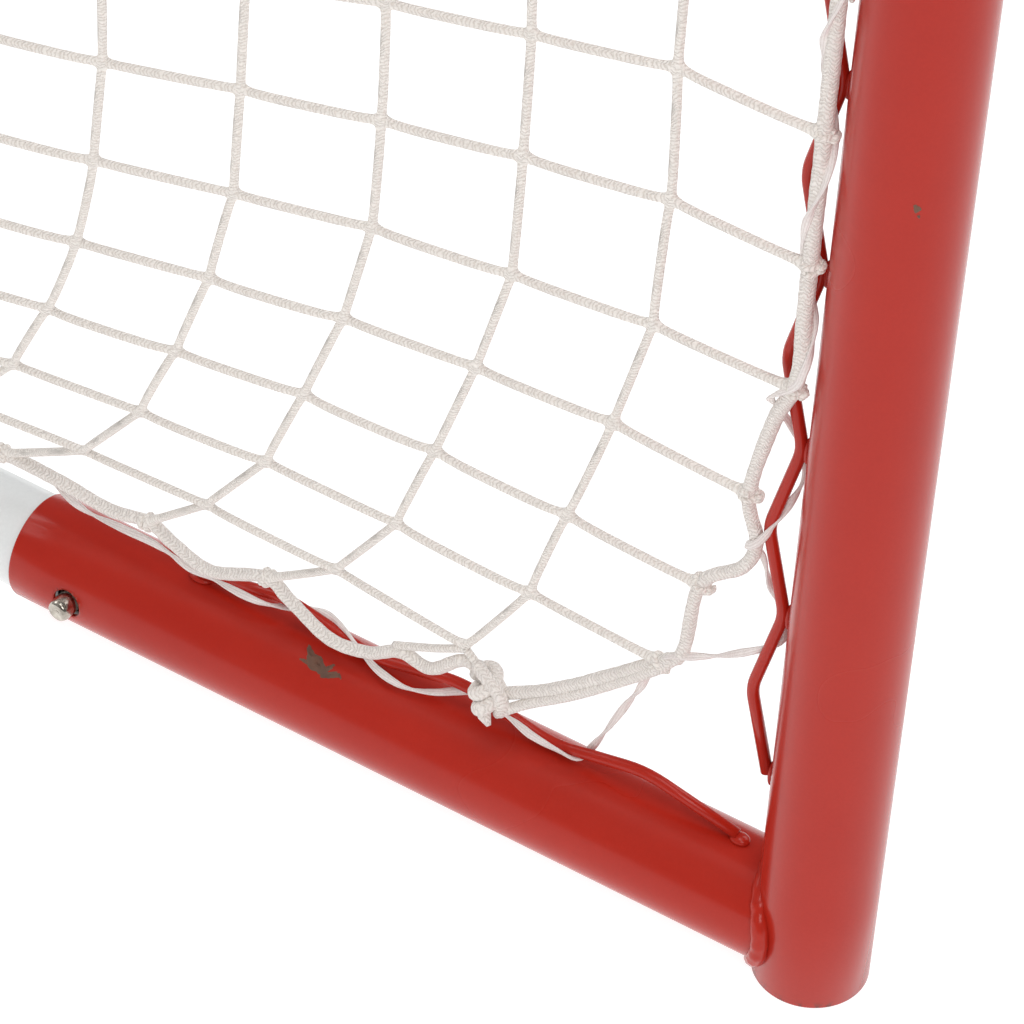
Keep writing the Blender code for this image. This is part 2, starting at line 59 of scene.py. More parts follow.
WIRE_R = 0.0020
BAR_LOW, BAR_HIGH, HALF_PITCH = TUBE_R + WIRE_R + GAP, 0.0290, 0.0331
POST_BAR_START, POST_BAR_STEPS, POST_BAR_TURN = 0.078, 30, math.radians(10)
STUB_BAR_START, STUB_BAR_STEPS, STUB_BAR_STEP = 0.031, 6, 0.0347
BEND_BAR_TILT = math.radians(35)
CROSSBAR_BAR_STEPS = 36
RED_BORE, WHITE_BORE = TUBE_R - TUBE_WALL, INNER_R - INNER_WALL
COPE = 0.78              # the stubs are cut a little flatter than the tubes they meet

# ---- soft parts -------------------------------------------------------------------------
ROPE_R = 0.0028          # room that the border rope takes, as the CAD has it
BRAID_R = 0.0022         # its braid under tension
CORD_R = 0.00135         # half the width of the flat lacing cord
TWINE_R = 0.00138        # knitted net twine
MESH = 0.0475            # knot to knot
NET_COLUMNS = 28         # from a post to the middle of the back
NET_ROWS = 26            # floor to crossbar
SPLIT = 9                # columns in a side panel
ROPE_HEIGHT = 0.060
SHELF_INSET = 0.0235
BASE_KNOTS = (0.1300, 0.2085, 0.2550, 0.3150)   # first net columns on the base rope, behind the post

SIDES = {"right": 1, "left": -1}


# ---- materials --------------------------------------------------------------------------
class Nodes:
    """A material's node tree, with short calls for the nodes used here."""

    def __init__(self, name):
        self.mat = bpy.data.materials.new(name)
        self.mat.use_nodes = True
        self.tree = self.mat.node_tree
        self.shader = self.tree.nodes["Principled BSDF"]

    def set(self, **values):
        for name, value in values.items():
            socket = self.shader.inputs[name.replace("_", " ")]
            socket.default_value = (*value, 1.0) if isinstance(value, tuple) else value

    def node(self, kind, **values):
        made = self.tree.nodes.new("ShaderNode" + kind)
        for name, value in values.items():
            setattr(made, name, value)
        return made

    def link(self, out, into):
        self.tree.links.new(out, into)

    def math(self, operation, a, b=None, c=None):
        made = self.node("Math", operation=operation)
        for socket, value in zip(made.inputs, (a, b, c)):
            if value is None:
                continue
            if isinstance(value, (int, float)):
                socket.default_value = value
            else:
                self.link(value, socket)
        return made.outputs[0]

    def coord(self, which="Object"):
        return self.node("TexCoord").outputs[which]

    def noise(self, scale, detail=3.0, roughness=0.55, vector=None, distortion=0.0):
        made = self.node("TexNoise")
        made.inputs["Scale"].default_value = scale
        made.inputs["Detail"].default_value = detail
        made.inputs["Roughness"].default_value = roughness
        made.inputs["Distortion"].default_value = distortion
        self.link(vector or self.coord(), made.inputs["Vector"])
        return made.outputs["Fac"]

    def ramp(self, value, stops):
        made = self.node("ValToRGB")
        band = made.color_ramp
        while len(band.elements) < len(stops):
            band.elements.new(0.5)
        for element, (position, colour) in zip(band.elements, stops):
            element.position = position
            element.color = (*colour, 1.0) if isinstance(colour, tuple) else (colour,) * 3 + (1.0,)
        self.link(value, made.inputs[0])
        return made.outputs["Color"]

    def mix(self, factor, a, b):
        made = self.node("Mix", data_type="RGBA")
        for socket, value in ((made.inputs[0], factor), (made.inputs[6], a), (made.inputs[7], b)):
            if isinstance(value, tuple):
                socket.default_value = (*value, 1.0)
            elif isinstance(value, (int, float)):
                socket.default_value = value
            else:
                self.link(value, socket)
        return made.outputs[2]

    def range(self, value, low, high, to_low, to_high, smooth=False):
        made = self.node("MapRange", interpolation_type="SMOOTHSTEP" if smooth else "LINEAR")
        for k, v in enumerate((low, high, to_low, to_high)):
            made.inputs[k + 1].default_value = v
        self.link(value, made.inputs[0])
        return made.outputs[0]

    def colour(self, out):
        self.link(out, self.shader.inputs["Base Color"])

    def roughness(self, out):
        self.link(out, self.shader.inputs["Roughness"])

    def bump(self, height, distance, strength=1.0, after=None):
        made = self.node("Bump")
        made.inputs["Strength"].default_value = strength
        made.inputs["Distance"].default_value = distance
        self.link(height, made.inputs["Height"])
        if after is not None:
            self.link(after, made.inputs["Normal"])
        self.link(made.outputs[0], self.shader.inputs["Normal"])
        return made.outputs[0]


def coated_steel(name, deep, light, chip, gloss=0.20):
    """Powder-coated tube: slow colour drift, fine orange peel, scuffs and a worn foot."""
    m = Nodes(name)
    drift = m.noise(9.0, 4.0, 0.6)
    base = m.ramp(drift, [(0.30, deep), (0.70, light)])
    grain = m.noise(900.0, 2.0, 0.5)
    base = m.mix(m.range(grain, 0.35, 0.65, 0.0, 0.10), base, tuple(c * 0.72 for c in deep))
    scuff = m.range(m.noise(9.0, 2.0, 0.5), 0.50, 0.80, 0.0, 0.10, smooth=True)
    base = m.mix(scuff, base, tuple(c * 0.62 for c in deep))
    height = m.node("SeparateXYZ")
    m.link(m.coord(), height.inputs[0])
    foot = m.range(height.outputs["Z"], 0.0002, 0.0032, 1.0, 0.0)
    worn = m.math("MULTIPLY", foot, m.range(m.noise(260.0, 4.0, 0.65), 0.50, 0.60, 0.0, 1.0))
    m.colour(m.mix(m.math("MULTIPLY", worn, 0.75), base, chip))
    m.roughness(m.range(m.noise(16.0, 2.0, 0.5), 0.3, 0.7, gloss, gloss + 0.08))
    m.set(Coat_Weight=0.07, Coat_Roughness=0.06, IOR=1.45, Specular_IOR_Level=0.30)
    m.bump(m.noise(360.0, 1.0, 0.4), 0.00004, 0.10)
    return m.mat


def knitted(name, light, shade, pitch, ridges=2.0, depth=0.00025, fuzz=0.35):
    """Knitted or braided yarn: chevron stitches that follow the piece's length, with painted shade in their
    grooves and a faint painted highlight on their crests.
    """
    m = Nodes(name)
    uv = m.node("SeparateXYZ")
    m.link(m.coord("UV"), uv.inputs[0])
    around, along = uv.outputs["X"], uv.outputs["Y"]
    wobble = m.math("MULTIPLY", m.math("SUBTRACT", m.noise(520.0, 3.0), 0.5), 2.2)
    slant = m.math("ABSOLUTE", m.math("SUBTRACT", m.math("FRACT", m.math("MULTIPLY", around, ridges)), 0.5))
    repeats = m.math("MULTIPLY", along, 1.0 / pitch)
    phase = m.math("ADD", m.math("ADD", repeats, m.math("MULTIPLY", slant, 1.5)), wobble)
    wave = m.math("ABSOLUTE", m.math("SINE", m.math("MULTIPLY", phase, math.pi)))
    groove = m.range(slant, 0.0, 0.16, 0.45, 1.0, smooth=True)
    stitch_relief_and_painted_shade = m.math("MULTIPLY", m.math("POWER", wave, 1.7), groove)
    fibre = m.noise(2600.0, 2.0, 0.6)
    tone = m.math("ADD", m.math("MULTIPLY", stitch_relief_and_painted_shade, 0.75), m.math("MULTIPLY", fibre, fuzz))
    # painted shade: the stitch relief also darkens the colour towards the shade colour in the grooves and
    # where stitches meet, and lightens it a little on the crests
    yarn = m.ramp(tone, [(0.10, shade), (0.50, light), (0.95, tuple(min(1.0, c * 1.04) for c in light))])
    drift = m.range(m.noise(55.0, 3.0), 0.3, 0.7, 0.0, 0.22)
    m.colour(m.mix(drift, yarn, tuple(a * 0.5 + b * 0.5 for a, b in zip(light, shade))))
    m.set(Roughness=0.78, Sheen_Weight=0.25, Sheen_Roughness=0.5, Specular_IOR_Level=0.35)
    m.bump(m.math("ADD", stitch_relief_and_painted_shade, m.math("MULTIPLY", fibre, 0.25)), depth, 0.9)
    return m.mat


def lacing(name, light, shade):
    """Flat twisted nylon: fine slanted filaments and a soft sheen."""
    m = Nodes(name)
    uv = m.node("SeparateXYZ")
    m.link(m.coord("UV"), uv.inputs[0])
    around = m.math("MULTIPLY", uv.outputs["X"], 9.0)
    along = m.math("MULTIPLY", uv.outputs["Y"], 130.0)
    slant = m.math("ADD", around, along)
    lines = m.math("ABSOLUTE", m.math("SINE", m.math("MULTIPLY", slant, math.pi)))
    fibre = m.noise(1900.0, 2.0, 0.6)
    tone = m.math("ADD", m.math("MULTIPLY", lines, 0.30), m.math("MULTIPLY", fibre, 0.75))
    m.colour(m.ramp(tone, [(0.25, shade), (0.75, light)]))
    m.set(Roughness=0.52, Sheen_Weight=0.15, Specular_IOR_Level=0.45)
    m.bump(m.math("ADD", lines, m.math("MULTIPLY", fibre, 0.4)), 0.00012, 0.7)
    return m.mat


def bare_metal(name, light, dark, roughness, scratch=1400.0):
    m = Nodes(name)
    worn = m.noise(180.0, 4.0, 0.6)
    m.colour(m.ramp(worn, [(0.32, dark), (0.62, light)]))
    m.roughness(m.range(m.noise(90.0, 3.0), 0.3, 0.7, roughness, roughness + 0.14))
    m.set(Metallic=1.0)
    m.bump(m.noise(scratch, 2.0), 0.00002, 0.4)
    return m.mat


def moulded(name, light, dark, roughness):
    m = Nodes(name)
    m.colour(m.ramp(m.noise(120.0, 3.0), [(0.35, dark), (0.65, light)]))
    m.roughness(m.range(m.noise(60.0, 2.0), 0.3, 0.7, roughness, roughness + 0.15))
    m.bump(m.noise(1500.0, 2.0), 0.00005, 0.6)
    return m.mat


RED_DEEP, RED_LIGHT = (0.430, 0.0180, 0.0085), (0.500, 0.0250, 0.0125)
RED = coated_steel("red_powder_coat_fine", RED_DEEP, RED_LIGHT, (0.060, 0.030, 0.022))
WHITE = coated_steel("white_powder_coat_fine", (0.82, 0.85, 0.85), (0.88, 0.90, 0.90),
                     (0.25, 0.24, 0.22), gloss=0.30)
# twine and rope: the light colour, then the shade colour that is painted into the knit's grooves
TWINE = knitted("knitted_twine", (0.94, 0.895, 0.845), (0.70, 0.635, 0.575), 0.00130)
ROPE = knitted("braided_rope", (0.94, 0.890, 0.845), (0.71, 0.640, 0.585), 0.00135, ridges=4.0, depth=0.0003)
CORD = lacing("lacing_nylon_fine", (0.94, 0.885, 0.86), (0.72, 0.64, 0.61))
NICKEL = bare_metal("nickel_plate_fine", (0.62, 0.585, 0.52), (0.27, 0.245, 0.21), 0.12)
STEEL = bare_metal("spring_steel_fine", (0.42, 0.42, 0.43), (0.22, 0.22, 0.23), 0.38)
PLASTIC = moulded("black_plastic_fine", (0.030, 0.030, 0.031), (0.018, 0.018, 0.019), 0.5)
RUST = moulded("bared_steel_chip", (0.190, 0.088, 0.052), (0.110, 0.056, 0.036), 0.55)


# ---- mesh helpers -------------------------------------------------------------------------
def unit(v):
    v = np.asarray(v, float)
    return v / np.maximum(np.linalg.norm(v, axis=-1, keepdims=True), 1e-12)


def distances(path):
    return np.r_[0.0, np.cumsum(np.linalg.norm(np.diff(path, axis=0), axis=1))]


def at_distance(path, where):
    d = distances(path)
    return np.stack([np.interp(where, d, path[:, k]) for k in range(3)], -1)


def heading(path, where, step):
    """Direction of a path at a distance along it, from two points a step away."""
    total = distances(path)[-1]
    return unit(at_distance(path, np.minimum(where + step, total))
                - at_distance(path, np.maximum(where - step, 0)))


def bisector(before, here, after):
    """Direction halfway between the bars that meet at a knot."""
    return unit(unit(after - here + 1e-9) + unit(here - before + 1e-9))


def resampled(path, spacing):
    path = np.asarray(path, float)
    total = distances(path)[-1]
    return at_distance(path, np.linspace(0, total, max(int(total / spacing), 2) + 1))


def smooth_curve(points, spacing=0.002):
    """A Catmull-Rom curve through points, evenly sampled."""
    p = np.asarray(points, float)
    p = np.vstack([2 * p[0] - p[1], p, 2 * p[-1] - p[-2]])
    fine = []
    for a, b, c, d in zip(p, p[1:], p[2:], p[3:]):
        t = np.linspace(0, 1, 24, endpoint=False)[:, None]
        fine.append(0.5 * (2 * b + (c - a) * t + (2 * a - 5 * b + 4 * c - d) * t ** 2
                           + (3 * b - 3 * c + d - a) * t ** 3))
    return resampled(np.vstack([*fine, p[-2][None]]), spacing)


def rounded(points, radius, steps=5):
    """Straight runs with their corners rounded off."""
    p = np.asarray(points, float)
    out = [p[0]]
    for a, b, c in zip(p, p[1:], p[2:]):
        before, after = b - a, c - b
        cut = min(radius, 0.45 * np.linalg.norm(before), 0.45 * np.linalg.norm(after))
        start, end = b - unit(before) * cut, b + unit(after) * cut
        for t in np.linspace(0, 1, steps + 1):
            out.append((1 - t) ** 2 * start + 2 * t * (1 - t) * b + t ** 2 * end)
    out.append(p[-1])
    return np.array(out)


def frames(path, first=None):
    """Tangents and two cross axes carried along a path without twist."""
    step = unit(np.diff(path, axis=0))
    along = unit(np.vstack([step[:1], step[:-1] + step[1:], step[-1:]]))
    side = np.asarray(first if first is not None else Vector(along[0]).orthogonal(), float)
    u = np.empty_like(path)
    for k, t in enumerate(along):
        side = side - t * side.dot(t)
        side = side / np.linalg.norm(side)
        u[k] = side
    return along, u, np.cross(along, u)


def new_mesh(name, verts, faces, uvs, material, smooth=True):
    mesh = bpy.data.meshes.new(name)
    mesh.from_pydata(np.asarray(verts, float).tolist(), [], faces)
    if uvs is not None:
        layer = mesh.uv_layers.new(name="UVMap")
        layer.data.foreach_set("uv", np.asarray(uvs, np.float32).ravel())
    if smooth:
        mesh.shade_smooth()
    mesh.materials.append(material)
    made = bpy.data.objects.new(name, mesh)
    bpy.context.scene.collection.objects.link(made)
    return made


class Build:
    """Verts, faces and UVs gathered for one piece."""

    def __init__(self):
        self.verts, self.faces, self.uvs, self.count = [], [], [], 0

    def grid(self, rings, lengths, closed=True, caps=(True, True), flip=False):
        """Rings of points joined into a tube; v runs with length, u round the ring."""
        n, m = rings.shape[:2]
        base = self.count
        self.verts.append(rings.reshape(-1, 3))
        self.count += n * m
        for i in range(n - 1):
            for k in range(m if closed else m - 1):
                a, b = base + i * m + k, base + i * m + (k + 1) % m
                c, d = b + m, a + m
                quad = (a, b, c, d) if not flip else (d, c, b, a)
                uv = [(k / m, lengths[i]), ((k + 1) / m, lengths[i]),
                      ((k + 1) / m, lengths[i + 1]), (k / m, lengths[i + 1])]
                self.faces.append(quad)
                self.uvs.extend(uv if not flip else uv[::-1])
        for wanted, i in zip(caps, (0, n - 1)):
            if wanted:
                loop = [base + i * m + k for k in range(m)]
                loop = loop[::-1] if i == 0 else loop
                self.faces.append(tuple(loop))
                self.uvs.extend([(0.5, lengths[i])] * m)

    def tube(self, path, radius, sides=12, caps=(True, True), squash=1.0, first=None, offset=0.0):
        path = np.asarray(path, float)
        along, u, v = frames(path, first)
        r = np.broadcast_to(np.asarray(radius, float), (len(path),))[:, None, None]
        a = np.linspace(0, 2 * math.pi, sides, endpoint=False)
        rings = path[:, None] + r * (np.cos(a)[None, :, None] * u[:, None]
                                     + squash * np.sin(a)[None, :, None] * v[:, None])
        self.grid(rings, distances(path) + offset, caps=caps)

    def ribbon(self, path, radius, pitch=0.043, sides=12):
        """A flat cord that turns slowly about its own line."""
        path = np.asarray(path, float)
        along, u, v = frames(path)
        d = distances(path)
        turn = (2 * math.pi * d / pitch + 0.7 * np.sin(d * 61) + 0.35 * np.sin(d * 143))[:, None]
        u, v = np.cos(turn) * u + np.sin(turn) * v, np.cos(turn) * v - np.sin(turn) * u
        a = np.linspace(0, 2 * math.pi, sides, endpoint=False)
        groove = 1 - 0.16 * np.abs(np.sin(a)) ** 6
        rings = path[:, None] + radius * (np.cos(a)[None, :, None] * u[:, None]
                                          + 0.52 * (np.sin(a) * groove)[None, :, None] * v[:, None])
        self.grid(rings, d)

    def wrap(self, centre, axis, radius, cord, turns=1.6, start=0.0, spread=2.1):
        """A few turns of cord round a line through centre."""
        axis = unit(axis)
        u = unit(np.cross(axis, (0.31, 0.77, 0.55)))
        v = np.cross(axis, u)
        t = np.linspace(0, 1, int(26 * turns) + 2)[:, None]
        a = start + 2 * math.pi * turns * t
        line = (np.asarray(centre) + axis * (t - 0.5) * turns * cord * spread
                + radius * (np.cos(a) * u + np.sin(a) * v))
        self.tube(line, cord, 8)

    def piece(self, name, material, body="goal", replaces=(), slot=None):
        made = new_mesh(name, np.vstack(self.verts), self.faces, self.uvs, material)
        return settle(made, body, replaces)


def settle(made, body="goal", replaces=()):
    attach(made, body)
    if replaces:
        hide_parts(*replaces)
    return made


def mirror(points, side):
    return np.asarray(points, float) * (side, 1, 1)


def smoothstep(low, high, value):
    t = np.clip((np.asarray(value, float) - low) / (high - low), 0.0, 1.0)
    return t * t * (3 - 2 * t)


def arc(centre, radius, start, end, across, up, steps):
    a = np.linspace(start, end, steps + 1)[:, None]
    return np.asarray(centre) + radius * (np.cos(a) * across + np.sin(a) * np.asarray(up))


# ---- centre lines of the right half ---------------------------------------------------------
def base_line(inset=0.0, height=BASE_Z, front=0.0, middle=0.0, steps=40):
    corner = (POST_X - BASE_BEND_R, REAR_Y - BASE_BEND_R, height)
    bend = arc(corner, BASE_BEND_R - inset, 0, math.pi / 2, (1, 0, 0), (0, 1, 0), steps)
    return np.vstack([[(POST_X - inset, POST_Y + front, height)], bend,
                      [(middle, REAR_Y - inset, height)]])


def shelf_line(inset=0.0, height=TOP_Z, front=0.0, middle=0.0, steps=30):
    corner = (SHELF_X - SHELF_BEND_R, SHELF_Y - SHELF_BEND_R, height)
    bend = arc(corner, SHELF_BEND_R - inset, 0, math.pi / 2, (1, 0, 0), (0, 1, 0), steps)
    return np.vstack([[(SHELF_X - inset, POST_Y + front, height)], bend,
                      [(middle, SHELF_Y - inset, height)]])


def post_bend(radius=POST_BEND_R, steps=24):
    corner = (POST_X - POST_BEND_R, POST_Y, TOP_Z - POST_BEND_R)
    return arc(corner, radius, 0, math.pi / 2, (1, 0, 0), (0, 0, 1), steps)


# ---- tubes ------------------------------------------------------------------------------------
def lathe_wall(path, outer, bore, sides, rim=0.0005, bore_depth=0.09):
    """Tube with rounded rims and its bore as far as it can be seen."""
    path = np.asarray(path, float)
    step0, step1 = unit(path[1] - path[0]), unit(path[-1] - path[-2])
    start = [path[0] + step0 * rim * k for k in (0, 0.3, 1.0)]
    end = [path[-1] - step1 * rim * k for k in (1.0, 0.3, 0)]
    body = resampled(path, 0.012) if len(path) == 2 else path
    line = np.vstack([start, body[1:-1], end])
    radii = np.full(len(line), outer)
    radii[[0, -1]] = outer - rim
    radii[[1, -2]] = outer - rim * 0.3
    build = Build()
    along, u, v = frames(line)
    a = np.linspace(0, 2 * math.pi, sides, endpoint=False)

    def rings(centres, u_, v_, r):
        r = np.asarray(r)[:, None, None]
        return centres[:, None] + r * (np.cos(a)[None, :, None] * u_[:, None]
                                       + np.sin(a)[None, :, None] * v_[:, None])

    skin = rings(line, u, v, radii)
    d = distances(line)
    head = at_distance(line, np.linspace(bore_depth, 0, 5))
    tail = at_distance(line, d[-1] - np.linspace(0, bore_depth, 5))
    u0, v0 = np.repeat(u[:1], 5, 0), np.repeat(v[:1], 5, 0)
    u1, v1 = np.repeat(u[-1:], 5, 0), np.repeat(v[-1:], 5, 0)
    whole = np.concatenate([rings(head, u0, v0, [bore] * 5), skin, rings(tail, u1, v1, [bore] * 5)])
    lengths = np.r_[-np.linspace(bore_depth, 0, 5) - 0.002, d, d[-1] + 0.002 + np.linspace(0, bore_depth, 5)]
    build.grid(whole, lengths, caps=(True, True))
    return build


def hole(target, centre, direction, radius=BUTTON_HOLE_R + 0.0006, sides=40):
    """Cuts a button's hole into one wall of a tube and applies it."""
    z = Vector(direction).normalized()
    bm = bmesh.new()
    turn = z.to_track_quat("Z", "Y").to_matrix().to_4x4()
    place = Matrix.Translation(Vector(centre) + z * 0.020) @ turn
    bmesh.ops.create_cone(bm, cap_ends=True, segments=sides, radius1=radius, radius2=radius,
                          depth=0.020, matrix=place)
    mesh = bpy.data.meshes.new("drill")
    bm.to_mesh(mesh)
    bm.free()
    drill = bpy.data.objects.new("drill", mesh)
    bpy.context.scene.collection.objects.link(drill)
    step = target.modifiers.new("hole", "BOOLEAN")
    step.operation, step.solver, step.object = "DIFFERENCE", "EXACT", drill
    bpy.context.view_layer.update()
    done = bpy.data.meshes.new_from_object(target.evaluated_get(bpy.context.evaluated_depsgraph_get()))
    target.modifiers.clear()
    old = target.data
    target.data = done
    bpy.data.meshes.remove(old)
    bpy.data.objects.remove(drill)


def resampled_ends(path, spacing=0.02):
    """The long first and last runs of a path cut into short ones."""
    d = distances(path)
    where = np.unique(np.r_[d, np.arange(0, d[1], spacing), np.arange(d[-2], d[-1], spacing)])
    return at_distance(path, where[np.r_[True, np.diff(where) > 2e-4]])


def add_rows(path, places, half=0.009, spacing=0.0015):
    """Extra stations along a path near some distances, so a hole there stays tidy."""
    d = distances(path)
    extra = [np.arange(p - half, p + half, spacing) for p in places]
    where = np.unique(np.r_[d, np.concatenate(extra)])
    keep = np.r_[True, np.diff(where) > 2e-4]
    return at_distance(path, where[keep])


for label, side in SIDES.items():
    fine = 96 if side > 0 else 48
    post = np.vstack([np.linspace((POST_X, POST_Y, 0), (POST_X, POST_Y, TOP_Z - POST_BEND_R), 30),
                      post_bend()[1:], [(SEAM_X + 0.06, POST_Y, TOP_Z)], [(SEAM_X + GAP, POST_Y, TOP_Z)]])
    total = distances(post)[-1]
    post = add_rows(post, [total - BUTTON_FROM_END])
    made = lathe_wall(mirror(post, side), TUBE_R, RED_BORE, fine).piece(
        label + "_post_tube", RED, replaces=[label + "_post"], slot="red_frame")
    hole(made, (side * (SEAM_X + BUTTON_FROM_END), POST_Y, TOP_Z), (0, 1, 0))

    # base and shelf stubs, coped to the tube they are welded to
    a = np.linspace(0, 2 * math.pi, fine, endpoint=False)
    for kind, x, z, end in (("base", POST_X, BASE_Z, BASE_STUB_END),
                            ("shelf", SHELF_X, TOP_Z, SHELF_STUB_END)):
        across = TUBE_R * np.cos(a)
        up = TUBE_R * np.sin(a)
        depth = across if kind == "base" else up
        cope = np.sqrt((TUBE_R + GAP) ** 2 - (COPE * depth) ** 2)
        button = end - BUTTON_FROM_END
        stations = np.unique(np.r_[np.linspace(0.03, end - 0.0005, 14),
                                   np.arange(button - 0.009, button + 0.009, 0.0015)])
        rows = [(y, 1.0) for y in stations] + [(end - 0.00015, 1 - 0.3 * 0.0005 / TUBE_R),
                                               (end, 1 - 0.0005 / TUBE_R)]
        rings = [np.stack([x + across, POST_Y + cope, z + up], -1)]
        rings += [np.stack([x + across * s, np.full(fine, POST_Y + y), z + up * s], -1) for y, s in rows]
        inner = RED_BORE / TUBE_R
        rings += [np.stack([x + across * inner, np.full(fine, POST_Y + end - y), z + up * inner], -1)
                  for y in (0.0, 0.02, 0.05, 0.09)]
        rings = np.stack(rings) * (side, 1, 1)
        lengths = np.r_[0.0, [y for y, s in rows], end + 0.002, end + 0.02, end + 0.05, end + 0.09]
        build = Build()
        build.grid(rings, lengths, caps=(False, True), flip=side > 0)
        made = build.piece(f"{label}_{kind}_sleeve", RED, replaces=[f"{label}_{kind}_stub"], slot="red_frame")
        direction = (-side, 0, 0) if kind == "base" else (0, 0, 1)
        hole(made, (side * x, POST_Y + end - BUTTON_FROM_END, z), direction)

    for kind, line in (
            ("base", base_line(front=BASE_STUB_END - INSERTION, middle=BASE_SLEEVE_HALF - INSERTION)),
            ("shelf", shelf_line(front=SHELF_STUB_END - INSERTION, middle=SHELF_SLEEVE_HALF - INSERTION))):
        # the straight ends get extra stations round the button holes
        total = distances(line)[-1]
        near, far = INSERTION - BUTTON_FROM_END, total - (INSERTION - BUTTON_FROM_END)
        line = add_rows(resampled_ends(line), [near, far])
        made = lathe_wall(mirror(line, side), INNER_R, WHITE_BORE, 64 if side > 0 else 40).piece(
            f"{label}_{kind}_rear_tube", WHITE, replaces=[f"{label}_{kind}_bend"], slot="white_frame")

slope = 0.0008
stations = [(SEAM_X - slope, TUBE_R), (SEAM_X, INNER_R), (SEAM_X + INSERTION - 0.0006, INNER_R),
            (SEAM_X + INSERTION, INNER_R - 0.0006), (SEAM_X + INSERTION, INNER_R - TUBE_WALL),
            (SEAM_X + INSERTION - 0.05, INNER_R - TUBE_WALL)]
middle = [(x, TUBE_R) for x in np.linspace(-0.6, 0.6, 25)]
stations = [(-x, r) for x, r in reversed(stations)] + middle + stations
build = Build()
a = np.linspace(0, 2 * math.pi, 72, endpoint=False)
rings = np.stack([np.stack([np.full(72, x), POST_Y + r * np.cos(a), TOP_Z + r * np.sin(a)], -1)
                  for x, r in stations])
build.grid(rings, np.array([x for x, r in stations]), caps=(True, True))
build.piece("crossbar_tube", RED, replaces=["crossbar"], slot="red_frame")


# ---- buttons ----------------------------------------------------------------------------------
def place_on(outward, towards_mouth, centre):
    z, x = Vector(outward), Vector(towards_mouth)
    return Matrix.Translation(Vector(centre)) @ Matrix((x, z.cross(x), z)).transposed().to_4x4()


def button_places(side):
    """Centre on the tube's line, outward direction and direction towards the sleeve's closed end."""
    x, back, up = Vector((side, 0, 0)), Vector((0, 1, 0)), Vector((0, 0, 1))
    return {
        "base_front": ((side * POST_X, POST_Y + BASE_STUB_END - BUTTON_FROM_END, BASE_Z), -x, -back),
        "shelf_front": ((side * SHELF_X, POST_Y + SHELF_STUB_END - BUTTON_FROM_END, TOP_Z), up, -back),
        "base_rear": ((side * (BASE_SLEEVE_HALF - BUTTON_FROM_END), REAR_Y, BASE_Z), -back, -x),
        "shelf_rear": ((side * (SHELF_SLEEVE_HALF - BUTTON_FROM_END), SHELF_Y, TOP_Z), up, -x),
        "crossbar": ((side * (SEAM_X + BUTTON_FROM_END), POST_Y, TOP_Z), back, x),
    }


for label, side in SIDES.items():
    low = WHITE_BORE - 0.0018 - FLANGE_T
    top = TUBE_R + BUTTON_HEAD
    profile = [(0.0, low), (FLANGE_R - 0.0003, low), (FLANGE_R, low + 0.0002), (FLANGE_R, low + FLANGE_T),
               (BUTTON_R, low + FLANGE_T), (BUTTON_R, top - 0.0030), (BUTTON_R - 0.0001, top - 0.0013),
               (BUTTON_R - 0.0005, top - 0.0005), (BUTTON_R - 0.0013, top - 0.0001), (0.0019, top),
               (0.0013, top - 0.00005), (0.0009, top - 0.0004), (0.0, top - 0.0007)]
    for kind, (centre, outward, mouth) in button_places(side).items():
        a = np.linspace(0, 2 * math.pi, 48, endpoint=False)
        rings = np.stack([np.stack([r * np.cos(a), r * np.sin(a), np.full(48, z)], -1)
                          for r, z in profile[1:-1]])
        build = Build()
        build.grid(rings, np.linspace(0, 0.02, len(rings)), caps=(True, True))
        made = new_mesh(f"snap_{label}_{kind}", np.vstack(build.verts), build.faces, build.uvs, NICKEL)
        made.data.set_sharp_from_angle(angle=math.radians(50))
        made.data.transform(place_on(outward, mouth, centre))
        settle(made, f"button_{label}_{kind}", [f"button_{label}_{kind}"])
        if kind != "crossbar":
            inner = bpy.data.objects[f"{label}_{kind.split('_')[0]}_rear_tube"]
            hole(inner, centre, outward)

# ---- lacing bars, welded puddles and beads ------------------------------------------------------
def post_point(side, inward, back, height):
    """A place beside a post, from its axis at floor level."""
    return np.array((side * (POST_X - inward), POST_Y + back, height))


def zigzag(start, along, outward, low, high, steps, step):
    k = np.arange(steps + 1)[:, None]
    stand = np.where(k % 2, high, low)
    return np.asarray(start) + np.asarray(along) * k * step + np.asarray(outward) * stand


def puddle(build, centre, along, across, size):
    """A small welded blob where a bar's end meets its tube."""
    t = np.linspace(-1, 1, 13)
    line = np.asarray(centre) + np.asarray(along)[None] * (t * size[0])[:, None]
    build.tube(line, size[1] * np.sqrt(np.maximum(1 - t ** 2, 0.01)), 14, squash=size[2], first=across)


def bead(build, line, radius, lumps, seed):
    """A weld bead: a low rope of overlapping ripples of uneven height."""
    d = distances(line)
    rng = np.random.default_rng(seed)
    waves = sum(rng.uniform(0.5, 1.0) * np.sin(d * f + rng.uniform(0, 6.3))
                for f in rng.uniform(350, 1500, 7)) / 4.5
    build.tube(line, radius * (1 + lumps * waves), 12, caps=(False, False))


